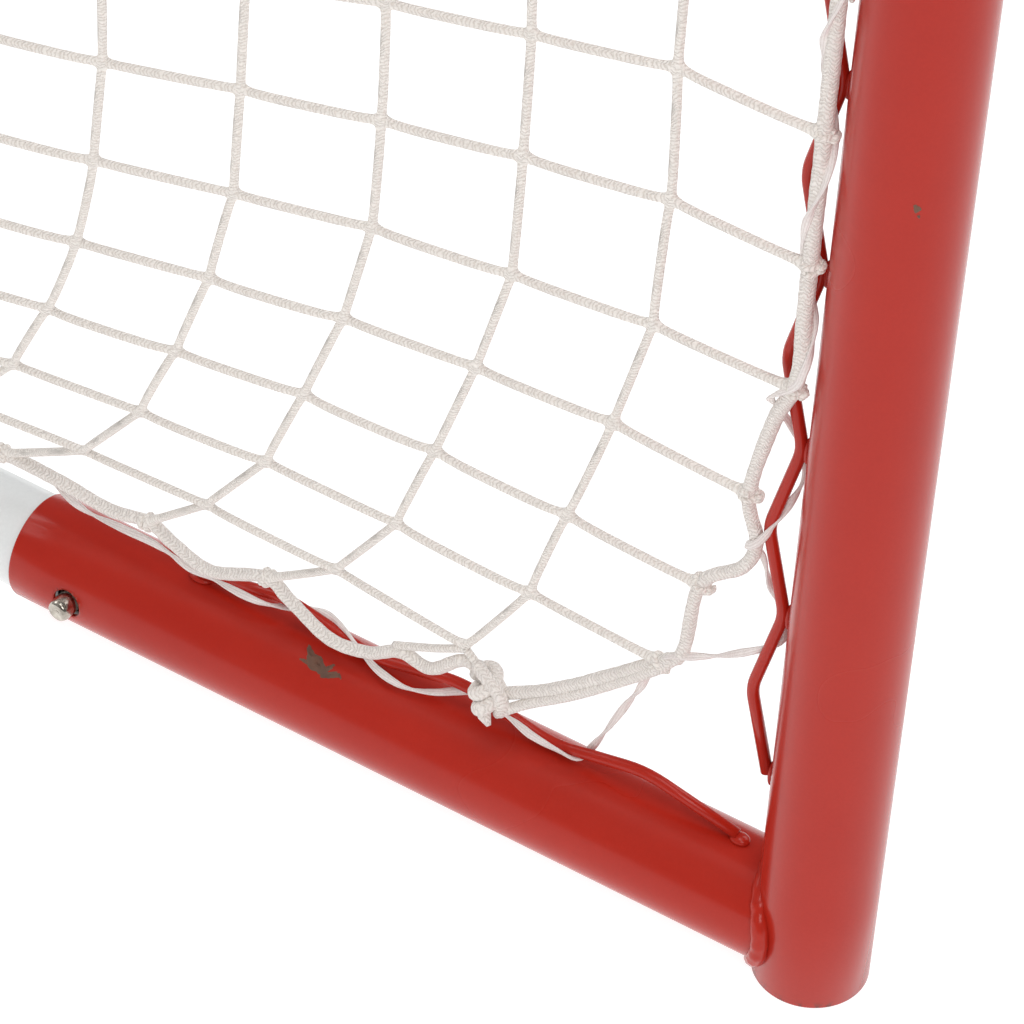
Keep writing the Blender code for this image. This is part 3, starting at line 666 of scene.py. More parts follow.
for label, side in SIDES.items():
    detail = 14 if side > 0 else 8
    outward = (-side * math.sin(POST_BAR_TURN), math.cos(POST_BAR_TURN), 0)
    line = rounded(zigzag((side * POST_X, POST_Y, POST_BAR_START), (0, 0, 1), outward,
                          BAR_LOW, BAR_HIGH, POST_BAR_STEPS, HALF_PITCH), 0.0045)
    build = Build()
    build.tube(line, WIRE_R, detail, first=(1, 0, 0))
    build.piece(label + "_post_wire", RED, replaces=[label + "_post_lacing_bar"], slot="red_frame")

    line = rounded(zigzag((side * (POST_X + 0.001), POST_Y + STUB_BAR_START, BASE_Z), (0, 1, 0), (0, 0, 1),
                          BAR_LOW, BAR_HIGH, STUB_BAR_STEPS, STUB_BAR_STEP), 0.0075)
    build = Build()
    build.tube(line, WIRE_R, detail, first=(1, 0, 0))
    build.piece(label + "_stub_wire", RED, replaces=[label + "_stub_lacing_bar"], slot="red_frame")

    guide = base_line(front=BASE_STUB_END + 0.020, middle=BASE_SLEEVE_HALF + 0.012)
    total = distances(guide)[-1]
    steps = 2 * int(total / HALF_PITCH / 2)
    where = np.linspace(0, total, steps + 1)
    on = at_distance(guide, where)
    ahead = heading(guide, where, 0.004)
    inward = np.cross((0, 0, 1), ahead)
    out = np.array((0, 0, math.cos(BEND_BAR_TILT))) + inward * math.sin(BEND_BAR_TILT)
    stand = np.where(np.arange(steps + 1)[:, None] % 2, BAR_HIGH, INNER_R + WIRE_R + 0.0004)
    build = Build()
    build.tube(mirror(rounded(on + out * stand, 0.0045), side), WIRE_R, detail)
    build.piece(label + "_base_wire", WHITE, replaces=[label + "_base_lacing_bar"], slot="white_frame")

    # welds
    build = Build()
    a = np.linspace(0, 2 * math.pi, 160)
    for kind, cx, cz in (("base", POST_X, BASE_Z), ("shelf", SHELF_X, TOP_Z)):
        r = TUBE_R + 0.0004
        across, up_ = r * np.cos(a), r * np.sin(a)
        depth = across if kind == "base" else up_
        y = np.sqrt(TUBE_R ** 2 - (COPE * depth) ** 2) - 0.0019
        height = np.maximum(cz + up_ * 0.95, 0.0032)
        bead(build, np.stack([side * (cx + across * 0.95), POST_Y + y, height], -1), 0.0030, 0.16,
             11 if kind == "base" else 12)
    puddle(build, (side * (POST_X + 0.001), POST_Y + STUB_BAR_START - 0.001, BASE_Z + TUBE_R + 0.0006),
           (0, 1, 0), (1, 0, 0), (0.0036, 0.0028, 0.7))
    puddle(build, (side * (POST_X + 0.001), POST_Y + STUB_BAR_START + STUB_BAR_STEPS * STUB_BAR_STEP,
                   BASE_Z + TUBE_R + 0.0006), (0, 1, 0), (1, 0, 0), (0.0045, 0.0028, 0.5))
    radial = np.array(outward)
    for k in range(0, POST_BAR_STEPS + 1, 2):
        on_axis = np.array((side * POST_X, POST_Y, POST_BAR_START + k * HALF_PITCH))
        puddle(build, on_axis + radial * (TUBE_R + 0.0006), (0, 0, 1), radial, (0.0050, 0.0012, 2.0))
    build.piece(label + "_welds", RED, slot="red_frame")

line = zigzag((-CROSSBAR_BAR_STEPS / 2 * HALF_PITCH, POST_Y, TOP_Z), (1, 0, 0), (0, 1, 0), BAR_LOW, BAR_HIGH,
              CROSSBAR_BAR_STEPS, HALF_PITCH)
build = Build()
build.tube(rounded(line, 0.0045), WIRE_R, 10)
for k in range(0, CROSSBAR_BAR_STEPS + 1, 2):
    puddle(build, line[k] - (0, WIRE_R * 0.8, 0), (1, 0, 0), (0, 1, 0), (0.0050, 0.0012, 2.0))
build.piece("crossbar_wire", RED, replaces=["crossbar_lacing_bar"], slot="red_frame")

# marks of use: ragged flakes of bared steel on the right stub and one on the right post
def flake(build, place, length, width, lean, rng, lift=0.00016):
    """place(along, around) gives a point on the tube's skin plus a lift, both in metres."""
    t = np.linspace(0, 2 * math.pi, 30, endpoint=False)
    rim = (1 + 0.20 * np.sin(3 * t + rng.uniform(0, 6)) + 0.08 * np.sin(7 * t + rng.uniform(0, 6))
           + 0.05 * np.sin(13 * t + rng.uniform(0, 6)))
    rings = []
    for share in (0.02, 0.5, 1.0):
        p, q = length * np.cos(t) * rim * share, width * np.sin(t) * rim * share
        along, around = p * math.cos(lean) - q * math.sin(lean), p * math.sin(lean) + q * math.cos(lean)
        rings.append(place(along, around, lift if share < 0.9 else 0.00003))
    build.grid(np.stack(rings), np.array([0, 0.001, 0.002]), caps=(True, False), flip=True)


def on_stub(start, turn):
    def place(along, around, lift):
        angle = math.radians(turn) + around / TUBE_R
        r = TUBE_R + lift
        return np.stack([POST_X - r * np.cos(angle), POST_Y + start + along, BASE_Z + r * np.sin(angle)], -1)
    return place


def on_post(height, turn):
    def place(along, around, lift):
        angle = math.radians(turn) + around / TUBE_R
        r = TUBE_R + lift
        return np.stack([POST_X - r * np.cos(angle), POST_Y - r * np.sin(angle), height - along], -1)
    return place


chip = Build()
rng = np.random.default_rng(5)
STUB_FLAKES = (   # distance behind the post, angle up from the side, length, width, lean
    (0.1850, 62, 0.0050, 0.0024, 0.35),
    (0.1890, 68, 0.0036, 0.0015, 0.8),
    (0.1792, 59, 0.0034, 0.0011, -0.5),
    (0.1812, 65, 0.0020, 0.0009, -0.9),
    (0.1902, 60, 0.0016, 0.0006, 0.1),
    (0.1765, 62, 0.0012, 0.0005, 0.6))
for along, turn, length, width, lean in STUB_FLAKES:
    flake(chip, on_stub(along, turn), length, width, lean, rng)
flake(chip, on_post(0.3217, 34.7), 0.0014, 0.0010, 0.4, rng)
flake(chip, on_post(0.3190, 37.0), 0.0006, 0.0004, 0.4, rng)
chip.piece("paint_chip", RUST, slot="red_frame")


# ---- the net's hanging shape ---------------------------------------------------------------------
def base_rope_line():
    """Base rope's line, from the corner knot to the middle of the back."""
    near = [
        (0.0075, 0.1170, 0.0600), (0.0070, 0.1290, 0.0675), (0.0065, 0.1430, 0.0560),
        (0.0060, 0.1550, 0.0565), (0.0062, 0.1670, 0.0495), (0.0068, 0.1820, 0.0478),
        (0.0060, 0.1985, 0.0555), (0.0055, 0.2085, 0.0600), (0.0060, 0.2300, 0.0515),
        (0.0060, 0.2450, 0.0555), (0.0060, 0.2550, 0.0600), (0.0060, 0.2710, 0.0570),
        (0.0065, 0.2920, 0.0595)]
    line = [post_point(1, *p) for p in near]
    for y in np.arange(0.315, 0.471, 0.02):
        inset = 0.006 + 0.021 * smoothstep(0.30, 0.46, y)
        line.append(np.array((POST_X - inset, POST_Y + y, ROPE_HEIGHT + 0.003 * math.sin(y * 90))))
    bend = base_line(inset=0.027, height=ROPE_HEIGHT)[1:]
    wave = 0.002 * np.sin(distances(bend) * 95)[:, None] * (0, 0, 1)
    line = np.vstack([line, at_distance(bend + wave, np.arange(0.02, distances(bend)[-1], 0.022)),
                      [(0, REAR_Y - 0.027, ROPE_HEIGHT)]])
    return line


def corner_angle(x, z):
    """The mouth rope lies beside the lacing bar, and under the shelf stubs at the corners."""
    up_post = smoothstep(TOP_Z - 0.25, TOP_Z - 0.10, z)
    near = smoothstep(0.60, 0.71, x)
    return math.radians(63) + math.radians(18 - 63) * up_post * near


def mouth_rope_line():
    """Mouth rope's line, from the right corner knot to the middle of the crossbar."""
    near = [
        (0.0078, 0.1160, 0.0610), (0.0072, 0.0945, 0.0752), (0.0070, 0.0605, 0.1055),
        (0.0066, 0.0525, 0.1140), (0.0065, 0.0487, 0.1440), (0.0065, 0.0350, 0.1585),
        (0.0066, 0.0314, 0.1710), (0.0070, 0.0352, 0.1880), (0.0085, 0.0290, 0.2200)]
    line = [post_point(1, *p) for p in near]
    r = TUBE_R + ROPE_R + 0.0024
    for k, z in enumerate(np.linspace(0.243, TOP_Z - POST_BEND_R, 34)):
        a = corner_angle(POST_X, z)
        sway = 0.0009 * math.sin(z * 95)
        line.append(post_point(1, r * math.cos(a) - sway, r * math.sin(a) + sway * 0.5, z))
    for p, a0 in zip(post_bend(steps=8)[1:], np.linspace(0, math.pi / 2, 9)[1:]):
        a = corner_angle(p[0], p[2])
        inward = np.array((-math.cos(a0), 0, -math.sin(a0)))
        line.append(p + r * (inward * math.cos(a) + np.array((0, math.sin(a), 0))))
    for x in np.r_[np.linspace(0.77, 0.60, 9), np.linspace(0.56, 0.0, 15)]:
        a = corner_angle(x, TOP_Z)
        line.append(np.array((x, POST_Y + r * math.sin(a), TOP_Z - r * math.cos(a))))
    return np.array(line)


BASE_ROPE = smooth_curve(base_rope_line(), 0.0015)
MOUTH_ROPE = smooth_curve(mouth_rope_line(), 0.0015)
SHELF_EDGE = shelf_line(inset=SHELF_INSET, height=TOP_Z - 0.008, front=0.0262)


def nearest(path, point):
    k = int(np.argmin(np.linalg.norm(path - np.asarray(point), axis=1)))
    return distances(path)[k]


def hang_net():
    """Knots of the net's right half: a cable net under its own weight, by force densities.

    Bars that would stretch past the mesh size pull harder each round and slack ones let go."""
    columns, rows = NET_COLUMNS, NET_ROWS
    knots = np.zeros((columns + 1, rows + 1, 3))
    base_total, shelf_total = distances(BASE_ROPE)[-1], distances(SHELF_EDGE)[-1]
    along = [nearest(BASE_ROPE, (POST_X - 0.006, POST_Y + y, 0.060)) for y in BASE_KNOTS]
    along = np.r_[along, np.linspace(along[-1], base_total, columns - 3)[1:]]
    low = at_distance(BASE_ROPE, along)
    high = at_distance(SHELF_EDGE, np.linspace(0, shelf_total, columns + 1))
    first = [nearest(MOUTH_ROPE, post_point(1, *p)) for p in
             ((0.0070, 0.0600, 0.1065), (0.0065, 0.0487, 0.1445), (0.0070, 0.0355, 0.188),
              (0.0100, 0.0210, 0.239), (0.0100, 0.0210, 0.283), (0.0100, 0.0210, 0.330))]
    corner = nearest(MOUTH_ROPE, (SHELF_X, POST_Y + 0.010, TOP_Z - 0.022))
    up = np.r_[first, np.linspace(first[-1], corner, rows - 6)[1:]]
    knots[0, 2:] = at_distance(MOUTH_ROPE, up)
    knots[0, :2] = MOUTH_ROPE[0]
    knots[1:, 0], knots[1:, rows], knots[0, rows] = low, high[1:], high[0]
    knots[1, 1] = post_point(1, 0.0070, 0.1300, 0.0725)
    pinned = np.zeros(knots.shape[:2], bool)
    pinned[0] = pinned[:, 0] = pinned[:, rows] = pinned[1, 1] = True
    index = np.full(pinned.shape, -1)
    index[~pinned] = np.arange((~pinned).sum())
    size = int((~pinned).sum())
    ids = np.arange(pinned.size).reshape(pinned.shape)
    start = np.r_[ids[:-1].ravel(), ids[:, :-1].ravel()]
    end = np.r_[ids[1:].ravel(), ids[:, 1:].ravel()]
    level = np.arange(len(start)) < ids[:-1].size
    index, knots = index.ravel(), knots.reshape(-1, 3)
    used = (index[start] >= 0) | (index[end] >= 0)
    start, end, level = start[used], end[used], level[used]
    pull = np.where(level, 0.2, 1.0)
    rest = np.where(level, MESH * 0.95, MESH)
    least = np.where(level, 0.02, 0.5)
    a, b = index[start], index[end]
    both, only_a, only_b = (a >= 0) & (b >= 0), (a >= 0) & (b < 0), (b >= 0) & (a < 0)
    for _ in range(16):
        matrix = np.zeros((size, size))
        load = np.zeros((size, 3))
        load[:, 2] = -0.005 * MESH
        for mine in (a, b):
            held = mine >= 0
            np.add.at(matrix, (mine[held], mine[held]), pull[held])
        np.add.at(matrix, (a[both], b[both]), -pull[both])
        np.add.at(matrix, (b[both], a[both]), -pull[both])
        np.add.at(load, a[only_a], pull[only_a, None] * knots[end[only_a]])
        np.add.at(load, b[only_b], pull[only_b, None] * knots[start[only_b]])
        knots[index >= 0] = np.linalg.solve(matrix, load)[index[index >= 0]]
        knots.reshape(columns + 1, rows + 1, 3)[columns, :, 0] = 0
        length = np.linalg.norm(knots[start] - knots[end], axis=1)
        pull = np.clip(pull * np.clip(length / rest, 0.8, 1.25) ** 1.5, least, 60)
    knots = knots.reshape(columns + 1, rows + 1, 3)
    # the lowest meshes near the corner knot are drawn back and up by the lacing
    k, j = np.mgrid[0:columns + 1, 0:rows + 1]
    upward = np.interp(j, [0, 1, 2, 3, 5], [0, 1, 0.9, 0.55, 0])
    share = upward * smoothstep(0.5, 3, k) * (1 - smoothstep(6, 13, k))
    knots += share[..., None] * np.array((0, 0.004, 0.004))
    # and the belly between the corner and the rear bend hangs a little lower
    share = (smoothstep(2.5, 5.5, k) * (1 - smoothstep(9, 16, k))
             * smoothstep(0, 4, j) * (1 - smoothstep(9, 18, j)))
    knots += share[..., None] * np.array((0, 0, -0.0075))
    return knots


KNOTS = hang_net()


class Net(Build):
    """Cage of a knotted net: a small hub at each knot and square bars between them."""

    def __init__(self, flipped=False):
        super().__init__()
        self.flipped = flipped

    def add(self, points):
        self.verts.append(np.asarray(points))
        self.count += len(points)
        return list(range(self.count - len(points), self.count))

    def face(self, loop, uvs):
        if self.flipped:
            loop, uvs = loop[::-1], uvs[::-1]
        self.faces.append(tuple(loop))
        self.uvs.extend(uvs)

    def panel(self, grid, hubs, rng, rings=(0.0036, 0.0095), sag=0.0010, skip=(), size=0.00175,
              width=TWINE_R / 0.93, offset=0.0):
        """Bars and hubs of a grid of knots; only knots marked in hubs get one."""
        c, r = grid.shape[:2]
        dh = np.gradient(grid, axis=0) if c > 1 else np.ones_like(grid)
        dg = np.gradient(grid, axis=1)
        n = unit(np.cross(dh, dg))
        corners = {}
        attached = set()

        def has(k, j):
            return 0 <= k < c and 0 <= j < r

        bars = []
        for k in range(c):
            for j in range(r):
                for dk, dj in ((1, 0), (0, 1)):
                    if has(k + dk, j + dj) and (hubs[k, j] or hubs[k + dk, j + dj]) \
                            and (k, j, dk) not in skip:
                        bars.append(((k, j), (k + dk, j + dj), dk))
                        attached.add((k, j, "h" if dk else "g", 1))
                        attached.add((k + dk, j + dj, "h" if dk else "g", -1))
        for k in range(c):
            for j in range(r):
                if not hubs[k, j]:
                    continue
                h = bisector(grid[max(k - 1, 0), j], grid[k, j], grid[min(k + 1, c - 1), j])
                g = bisector(grid[k, max(j - 1, 0)], grid[k, j], grid[k, min(j + 1, r - 1)])
                p, s = grid[k, j], size * rng.uniform(0.92, 1.10)
                t = width * 1.02
                ring = [p + s * (x * h + y * g) + t * z * n[k, j]
                        for z in (-1, 1) for x, y in ((-1, -1), (1, -1), (1, 1), (-1, 1))]
                v = self.add(ring)
                corners[k, j] = v
                vv = j * MESH
                across = [(0.30, vv - s), (0.70, vv - s), (0.70, vv + s), (0.30, vv + s)]
                self.face(v[4:], across)
                self.face(v[:4][::-1], across[::-1])
                sides = {("g", -1): (v[0], v[1], v[5], v[4]), ("h", 1): (v[1], v[2], v[6], v[5]),
                         ("g", 1): (v[2], v[3], v[7], v[6]), ("h", -1): (v[3], v[0], v[4], v[7])}
                for key, loop in sides.items():
                    if (k, j, *key) not in attached:
                        self.face(list(loop), across)
                corners[k, j] = sides
        for a, b, dk in bars:
            kind = "h" if dk else "g"
            p, q = grid[a], grid[b]
            length = float(np.linalg.norm(q - p))
            if length < 0.006:
                continue
            d = (q - p) / length
            normal = unit(n[a] + n[b])
            droop = np.array((0, 0, -1.0)) * (sag * rng.uniform(0.3, 1.4) if kind == "h" else 0)
            droop = droop + rng.normal(0, 0.00035, 3)
            spots = [(x, 1.0 if i == 0 else 1.05) for i, x in enumerate(rings) if x < length * 0.42]
            spots = [(x / length, w) for x, w in spots] + [(1 - x / length, w) for x, w in spots[::-1]]
            loops, places = [], []
            if hubs[a]:
                loops.append(list(corners[a][kind, 1]))
                places.append(size / length)
            else:
                spots = ([(0.0, 2.3), (0.0022 / length, 1.75)]
                         + [(x, w * 1.1) for x, w in spots[:1]] + spots[1:])
            if not hubs[b]:
                spots = (spots[:-1] + [(x, w * 1.1) for x, w in spots[-1:]]
                         + [(1 - 0.0022 / length, 1.75), (1.0, 2.3)])
            for share, w in spots:
                centre = p + d * length * share + droop * 4 * share * (1 - share)
                s = unit(np.cross(normal, d))
                z = np.cross(d, s)
                ww = width * w
                loops.append(self.add([centre + ww * (across * s + up * z)
                                       for across, up in ((-1, -1), (1, -1), (1, 1), (-1, 1))]))
                places.append(share)
            if hubs[b]:
                e = corners[b][kind, -1]
                loops.append([e[1], e[0], e[3], e[2]])
                places.append(1 - size / length)
            start = offset + (a[0] if kind == "h" else a[1]) * MESH
            for (l0, s0), (l1, s1) in zip(zip(loops, places), zip(loops[1:], places[1:])):
                v0, v1 = start + s0 * length, start + s1 * length
                for i in range(4):
                    m = (i + 1) % 4
                    self.face([l0[i], l0[m], l1[m], l1[i]],
                              [(i / 4, v0), ((i + 1) / 4, v0), ((i + 1) / 4, v1), (i / 4, v1)])
            if not hubs[a]:
                self.face(loops[0][::-1], [(0.5, start)] * 4)
            if not hubs[b]:
                self.face(loops[-1], [(0.5, start + length)] * 4)

    def net_piece(self, name, levels, replaces):
        made = new_mesh(name, np.vstack(self.verts), self.faces, self.uvs, TWINE)
        step = made.modifiers.new("round", "SUBSURF")
        step.levels = step.render_levels = levels
        return settle(made, "goal", replaces)


def jittered(grid, fixed, rng, amount=0.0007):
    moved = grid.copy()
    moved[~fixed] += rng.normal(0, amount, moved.shape)[~fixed]
    return moved


rows = NET_ROWS
side_grid = KNOTS[:SPLIT + 1]
hub = np.zeros(side_grid.shape[:2], bool)
hub[1:, 1:rows] = True
skip = {(0, 1, 1), (1, 0, 0), (0, 0, 1)}
for label, side in SIDES.items():
    rng = np.random.default_rng(21 if side > 0 else 22)
    grid = jittered(side_grid, ~hub, rng) if side < 0 else jittered(side_grid, ~hub, rng, 0.0004)
    net = Net(flipped=side < 0)
    net.panel(grid, hub, rng, skip=skip)
    net.verts = [v * (side, 1, 1) for v in net.verts]
    net.net_piece("netting_" + label, 2 if side > 0 else 1, ["net_" + label])

half = KNOTS[SPLIT:]
back_grid = np.concatenate([half, (half * (-1, 1, 1))[-2::-1]])
hub = np.zeros(back_grid.shape[:2], bool)
hub[1:-1, 1:rows] = True
rng = np.random.default_rng(23)
net = Net()
edge_bars = {(k, j, 0) for k in (0, len(hub) - 1) for j in range(rows)}
net.panel(jittered(back_grid, ~hub, rng), hub, rng, skip=edge_bars)
net.net_piece("netting_back", 1, ["net_back"])

# top panel: a square net inside the rounded outline of the shelf, drooping a little
top_z = TOP_Z - 0.0080
front_y, rear_y = POST_Y + 0.0262, SHELF_Y - SHELF_INSET
edge_x = SHELF_X - SHELF_INSET
xs = np.linspace(-edge_x, edge_x, 33)
ys = np.linspace(front_y, rear_y, 9)
gx, gy = np.meshgrid(xs, ys, indexing="ij")
TOP_SAG = 0.016
sag = (TOP_SAG * np.sin(math.pi * (gx / edge_x + 1) / 2) ** 0.5
       * np.sin(math.pi * (gy - front_y) / (rear_y - front_y)))
top_grid = np.stack([gx, gy, top_z - sag], -1)
corner_y, corner_r = SHELF_Y - SHELF_BEND_R, SHELF_BEND_R - SHELF_INSET
corner_x = SHELF_X - SHELF_BEND_R
from_corner = np.hypot(np.abs(gx) - corner_x, gy - corner_y)
outside = (np.abs(gx) > corner_x) & (gy > corner_y) & (from_corner > corner_r - 0.004)
hub = np.zeros(gx.shape, bool)
hub[1:-1, 1:-1] = True
hub &= ~outside
for k, j in zip(*np.nonzero(outside)):
    away = np.array((abs(gx[k, j]) - corner_x, gy[k, j] - corner_y))
    away = away / np.linalg.norm(away) * corner_r
    top_grid[k, j] = (math.copysign(corner_x + away[0], gx[k, j]), corner_y + away[1], top_z)
rng = np.random.default_rng(24)
net = Net()
net.panel(jittered(top_grid, ~hub, rng), hub, rng, sag=0.0016)
net.net_piece("netting_top", 1, ["net_top"])


# ---- border ropes, corner knots and lacing -------------------------------------------------------
def both_halves(line):
    return np.vstack([line, (line * (-1, 1, 1))[-2::-1]])


def rope_piece(name, line, radius, replaces, sides=14, swell=1.0):
    build = Build()
    d = distances(line)
    uneven = 1 + 0.035 * np.sin(d * 310) * np.sin(d * 47) + 0.02 * np.sin(d * 1130)
    build.tube(line, radius * uneven * swell, sides)
    return build.piece(name, ROPE, replaces=replaces, slot="net_twine")


mouth_rope_path = both_halves(MOUTH_ROPE)
rope_piece("mouth_border_rope", mouth_rope_path, BRAID_R, ["mouth_rope"],
           swell=1 + 0.13 * smoothstep(0.170, 0.250, mouth_rope_path[:, 2]))
base_rope_path = both_halves(BASE_ROPE)
rope_piece("base_border_rope", base_rope_path, BRAID_R, ["base_rope"],
           swell=1 + 0.25 * smoothstep(0.235, 0.400, base_rope_path[:, 1] - POST_Y))

for label, side in SIDES.items():
    build = Build()
    # the knot that joins the two ropes: turns round a short spine, and the frayed end
    spine = unit((0.40, 0.44, 0.80))
    u = unit(np.cross(spine, (-0.64, -0.38, 0.67)))
    v = np.cross(spine, u)
    centre = post_point(1, 0.0098, 0.1195, 0.0622)
    t = np.linspace(0, 1, 150)[:, None]
    turn = 0.6 + 2 * math.pi * 2.35 * t
    bulge = 0.0029 + 0.0011 * np.sin(math.pi * t)
    lean = 0.0022 * np.sin(turn + 0.7)
    knot = centre + spine * (0.0118 * (t - 0.5) + lean) + bulge * (np.cos(turn) * u + np.sin(turn) * v)
    build.tube(mirror(knot, side), BRAID_R * 1.10, 14)
    over = [centre + spine * p + u * q + v * r for p, q, r in (
        (0.0082, -0.0020, -0.0005), (0.0060, -0.0006, -0.0044), (0.0010, 0.0026, -0.0060),
        (-0.0040, 0.0042, -0.0042), (-0.0075, 0.0030, -0.0004))]
    build.tube(mirror(smooth_curve(over, 0.0012), side), BRAID_R * 1.05, 14)
    end = np.array([centre + spine * p + u * q + v * r for p, q, r in (
        (-0.0030, -0.0026, -0.0010), (-0.0070, -0.0020, -0.0016), (-0.0112, -0.0008, -0.0018))])
    end = smooth_curve(end, 0.0008)
    taper = np.interp(np.linspace(0, 1, len(end)), [0, 0.6, 1], [0.95, 1.0, 0.35])
    build.tube(mirror(end, side), BRAID_R * taper, 14)
    # the rope's tail lies beside the mouth rope and is caught by the first net knot
    tail = [post_point(1, *p) for p in (
        (0.0110, 0.1150, 0.0555), (0.0088, 0.1045, 0.0640), (0.0082, 0.0893, 0.0757),
        (0.0080, 0.0735, 0.0900), (0.0084, 0.0600, 0.1035), (0.0068, 0.0545, 0.1100))]
    build.tube(mirror(smooth_curve(tail), side), BRAID_R * 0.85, 14)
    build.piece(label + "_corner_knot", ROPE, slot="net_twine")

    # net twine caught round the border rope at each mesh
    build = Build()
    edge = side_grid[0, 2:rows]
    for i, p in enumerate(edge):
        k = int(np.argmin(np.linalg.norm(MOUTH_ROPE - p, axis=1)))
        axis = MOUTH_ROPE[min(k + 2, len(MOUTH_ROPE) - 1)] - MOUTH_ROPE[k - 2]
        build.wrap(mirror(MOUTH_ROPE[k], side), mirror(axis, side),
                   BRAID_R + 0.0002, 0.00110, 1.6, start=i * 1.7)
        from_net = MOUTH_ROPE[k] - side_grid[1, i + 2]
        away = unit(np.cross(unit(axis), np.cross(unit(axis), from_net)))
        away = -away if np.dot(away, from_net) < 0 else away
        beside = MOUTH_ROPE[k] + away * (BRAID_R + 0.0008)
        build.wrap(mirror(beside, side), mirror(axis + 0.0015 * away, side),
                   0.0008, 0.0010, 2.2, start=i * 2.3, spread=1.3)
    for k in range(2, NET_COLUMNS):
        p = KNOTS[k, 0]
        i = int(np.argmin(np.linalg.norm(BASE_ROPE - p, axis=1)))
        axis = BASE_ROPE[min(i + 2, len(BASE_ROPE) - 1)] - BASE_ROPE[i - 2]
        build.wrap(mirror(BASE_ROPE[i], side), mirror(axis, side),
                   BRAID_R + 0.0002, 0.00110, 1.6, start=k * 2.1)
    # the lowest net knot is tied to the corner knot and back to the base rope
    for ends in (((0.0070, 0.1300, 0.0725), (0.0088, 0.1240, 0.0700)),
                 ((0.0070, 0.1300, 0.0725), (0.0064, 0.1420, 0.0655), (0.0060, 0.1575, 0.0580))):
        build.tube(mirror(smooth_curve([post_point(1, *p) for p in ends], 0.002), side), TWINE_R, 10)
    build.piece(label + "_edge_loops", TWINE, slot="net_twine")

    # lacing on the post: from the corner's wire up through the bar's windows and round the rope
    start = [post_point(1, *p) for p in (
        (0.0075, 0.1190, 0.0540), (0.0058, 0.1110, 0.0497), (0.0050, 0.1052, 0.0465),
        (0.0030, 0.0975, 0.0432), (0.0002, 0.0905, 0.0404), (-0.0034, 0.0875, 0.0440),
        (-0.0020, 0.0815, 0.0570), (0.0030, 0.0690, 0.0850), (0.0062, 0.0610, 0.1030),
        (0.0080, 0.0560, 0.1110), (0.0070, 0.0500, 0.1135), (0.0050, 0.0400, 0.1180),
        (0.0030, 0.0270, 0.1265), (0.0010, 0.0215, 0.1320), (-0.0012, 0.0225, 0.1390),
        (-0.0005, 0.0262, 0.1450), (0.0025, 0.0280, 0.1540), (0.0042, 0.0305, 0.1645),
        (0.0076, 0.0338, 0.1690), (0.0096, 0.0312, 0.1715), (0.0078, 0.0284, 0.1750),
        (0.0030, 0.0245, 0.1850), (0.0000, 0.0215, 0.1960), (-0.0008, 0.0230, 0.2060),
        (0.0010, 0.0262, 0.2140), (0.0062, 0.0290, 0.2240), (0.0118, 0.0290, 0.2320))]
    line = list(start)
    period = 2 * HALF_PITCH
    for z in np.arange(0.2420, TOP_Z - POST_BEND_R - 0.010, period / 14):
        a = -2 * math.pi * (z - 0.2610) / period
        rope_at = at_distance(MOUTH_ROPE, nearest(MOUTH_ROPE, post_point(1, 0.0105, 0.0225, z)))
        around = 0.0029 * np.array((-0.54 * math.cos(a) + 0.84 * math.sin(a),
                                    -0.84 * math.cos(a) - 0.54 * math.sin(a)))
        spot = np.array((POST_X - rope_at[0], rope_at[1] - POST_Y)) + around
        spot = spot * max(1.0, (TUBE_R + CORD_R + 0.0004) / np.linalg.norm(spot))
        line.append(post_point(1, spot[0], spot[1], z))
    build = Build()
    build.ribbon(mirror(smooth_curve(line, 0.0013), side), CORD_R)
    build.piece(label + "_post_lacing", CORD, replaces=[label + "_post_lacing_cord"], slot="lacing_cord")

# lacing along the base: over the rope and under each peak of the bar
line = [post_point(1, *p) for p in (
    (0.0085, 0.1215, 0.0520), (0.0020, 0.1275, 0.0480), (-0.0018, 0.1315, 0.0455),
    (-0.0005, 0.1385, 0.0427), (0.0030, 0.1445, 0.0418), (0.0057, 0.1535, 0.0412),
    (0.0052, 0.1640, 0.0425), (0.0025, 0.1735, 0.0452), (-0.0015, 0.1825, 0.0462),
    (-0.0048, 0.1925, 0.0452), (-0.0045, 0.1985, 0.0440), (-0.0005, 0.2055, 0.0438),
    (0.0030, 0.2110, 0.0450), (0.0040, 0.2180, 0.0455), (0.0050, 0.2298, 0.0472),
    (0.0062, 0.2386, 0.0485), (0.0050, 0.2490, 0.0495), (0.0040, 0.2570, 0.0492),
    (0.0040, 0.2700, 0.0490), (0.0044, 0.2850, 0.0500))]
line += [post_point(1, 0.0026, 0.3050, 0.0560)]
guide = base_line(front=BASE_STUB_END + 0.020, middle=0.0)
wire_length = distances(base_line(front=BASE_STUB_END + 0.020, middle=BASE_SLEEVE_HALF + 0.012))[-1]
half_wave = wire_length / (2 * int(wire_length / HALF_PITCH / 2))
total = distances(guide)[-1]
